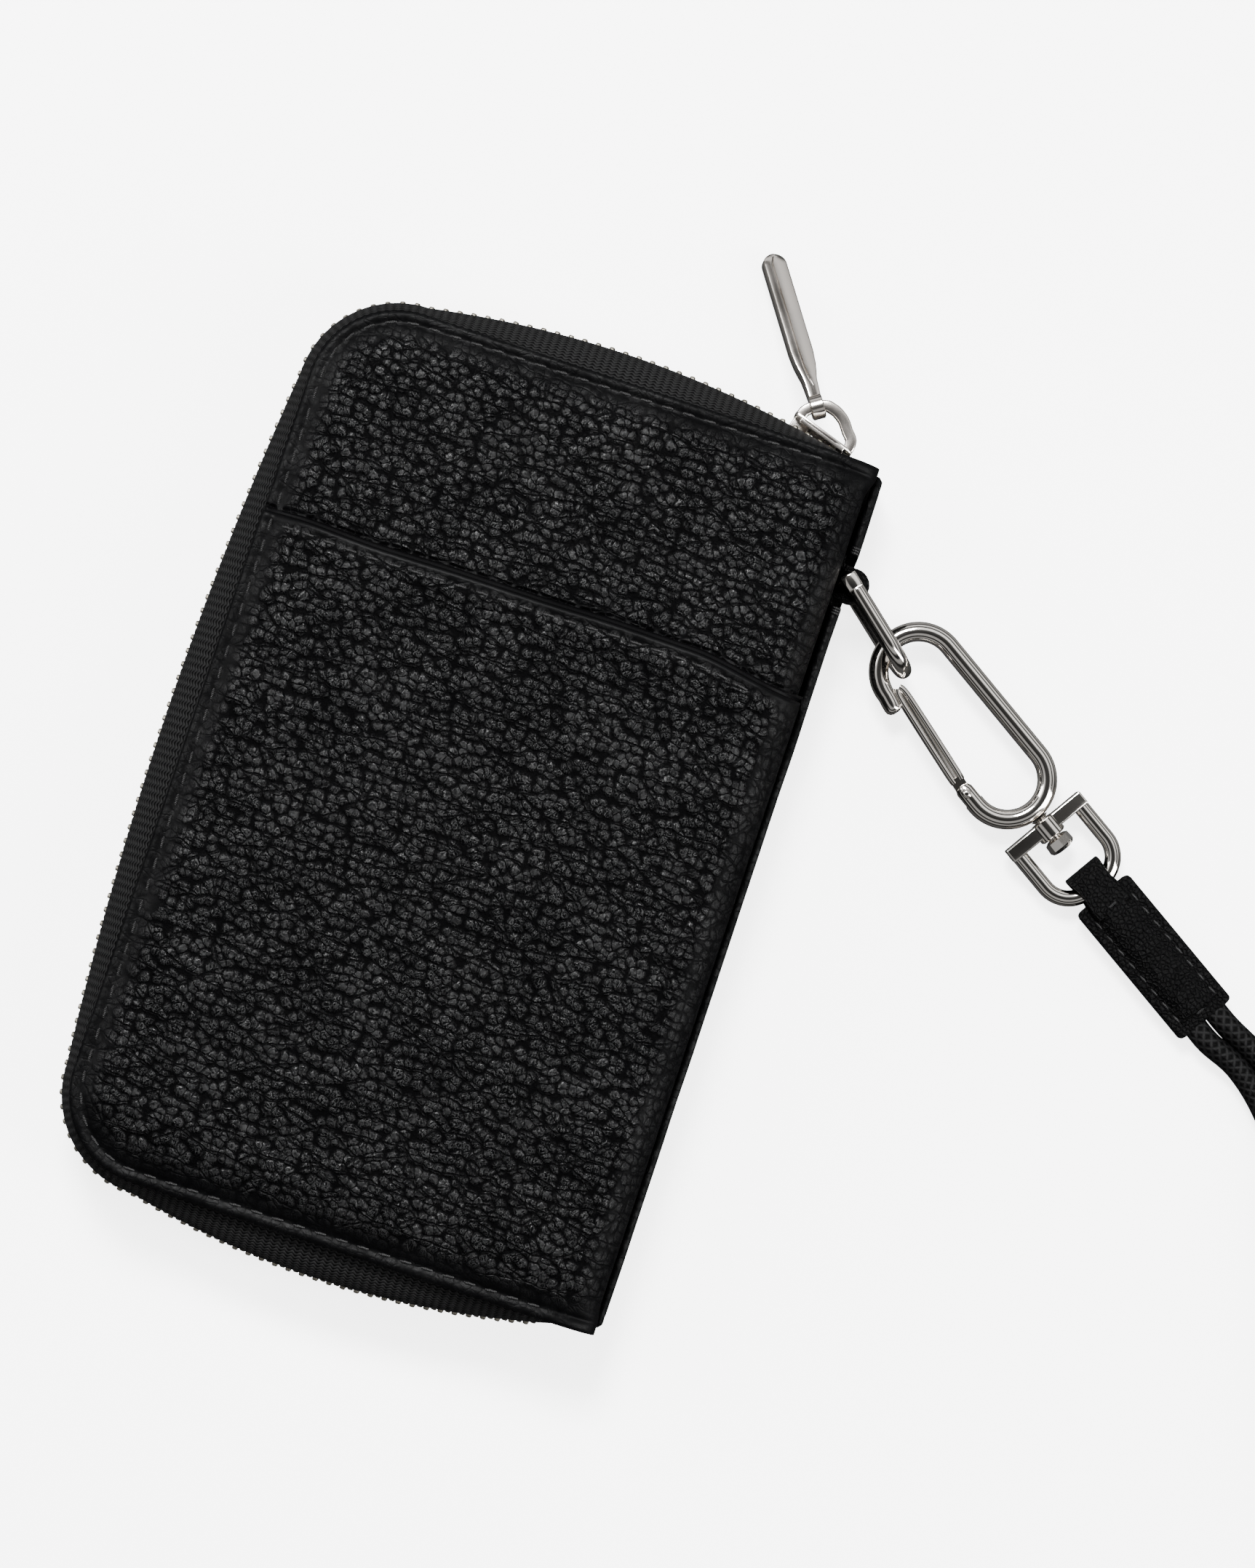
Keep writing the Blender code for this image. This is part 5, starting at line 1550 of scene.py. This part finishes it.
def make_floor():
    """White paper, lit evenly enough to be almost without shadow."""
    mesh = bpy.data.meshes.new("floor")
    reach = 6.0
    corners = [(-reach, -reach, 0), (reach, -reach, 0), (reach, reach, 0), (-reach, reach, 0)]
    mesh.from_pydata(corners, [], [(0, 1, 2, 3)])
    s = Shader("floor_paper")
    place = s.node("TexCoord").outputs["Object"]
    tint = s.node("TexNoise", None, Vector=place, Scale=3.0).outputs["Fac"]
    s.set(
        Base_Color=s.blend(tint, (0.9, 0.9, 0.9), (0.92, 0.92, 0.92)), Roughness=0.9,
        Emission_Color=(1.0, 1.0, 1.0, 1.0), Emission_Strength=FLOOR_GLOW,
    )
    mesh.materials.append(s.made)
    floor = bpy.data.objects.new("floor", mesh)
    floor.location.z = -0.0001
    floor.visible_glossy = False
    bpy.context.scene.collection.objects.link(floor)


def area_light(name, place, target, size, power):
    data = bpy.data.lights.new(name, "AREA")
    data.shape = "RECTANGLE"
    data.size, data.size_y = size
    data.energy = power
    made = bpy.data.objects.new(name, data)
    made.location = place
    made.rotation_euler = (Vector(target) - Vector(place)).to_track_quat("-Z", "Y").to_euler()
    bpy.context.scene.collection.objects.link(made)


def make_world():
    """A studio: pale overhead, dark gaps between bright panels, and a dim surround below."""
    world = bpy.data.worlds.new("studio")
    world.use_nodes = True
    s = Shader(tree=world.node_tree)
    background = s.tree.nodes["Background"]
    direction = s.node("TexCoord").outputs["Generated"]
    parts = s.apart(direction)
    sway = s.node("TexNoise", None, Vector=direction, Scale=1.6, Detail=0.0).outputs["Fac"]
    tilted = s.scaled(s.minus(sway, 0.5), 0.07, parts["Z"])
    ramp = s.node("ValToRGB", None, Fac=s.scaled(tilted, 0.5, 0.5))
    stops = [
        (0.0, 0.03), (0.15, 0.12), (0.36, 0.24), (0.46, 0.04), (0.54, 0.02), (0.6, 0.6), (0.7, 0.8),
        (0.75, 0.03), (0.82, 0.04), (0.87, 0.95), (0.94, 0.85), (0.965, 0.06), (1.0, 0.05),
    ]
    ramp.color_ramp.elements[0].position = stops[0][0]
    ramp.color_ramp.elements[1].position = stops[-1][0]
    for position, _ in stops[1:-1]:
        ramp.color_ramp.elements.new(position)
    for element, (_, value) in zip(ramp.color_ramp.elements, stops):
        element.color = (value, value, value, 1.0)
    s.feed(background.inputs["Color"], ramp.outputs["Color"])
    upward = s.scaled(parts["X"], -0.32, s.times(parts["Y"], 0.95))
    s.feed(background.inputs["Strength"], s.remap(upward, -0.3, 0.45, 0.55, 1.9))
    bpy.context.scene.world = world


def make_lights():
    area_light("key", (-0.28, 0.62, 1.05), (0, 0, 0), (0.4, 0.3), 48)
    area_light("right_box", (0.85, -0.05, 0.5), (0.03, 0, 0.01), (0.28, 0.9), 17)
    area_light("left_box", (-0.8, 0.1, 0.5), (0, 0, 0.01), (0.3, 0.7), 8)


# ---------------------------------------------------------------- assembly

make_camera()
look = make_materials()
cord_piece()
front_leather()
pocket_leather()
back_leather()
front_stitches()
back_stitches()
spine_leather()
tab_leather()
zip_tape("tape_back", -1, "back_cover", "zip_tape_back")
zip_tape("tape_front", 1, "front_cover", "zip_tape_front")
zip_teeth("teeth_back", -1, ZIP_END_X - 0.6, "back_cover", "zip_teeth_back")
zip_teeth("teeth_front", 1, box_mm("zip_teeth_front")[1].x, "front_cover", "zip_teeth_front")
slider_piece()
bail_piece()
puller_piece()
ring_piece()
hook_piece()
gate_piece()
pin_piece()
eye_piece()
post_piece()
connector_piece()
build_inside()
dress_cad()
make_floor()
make_lights()
make_world()
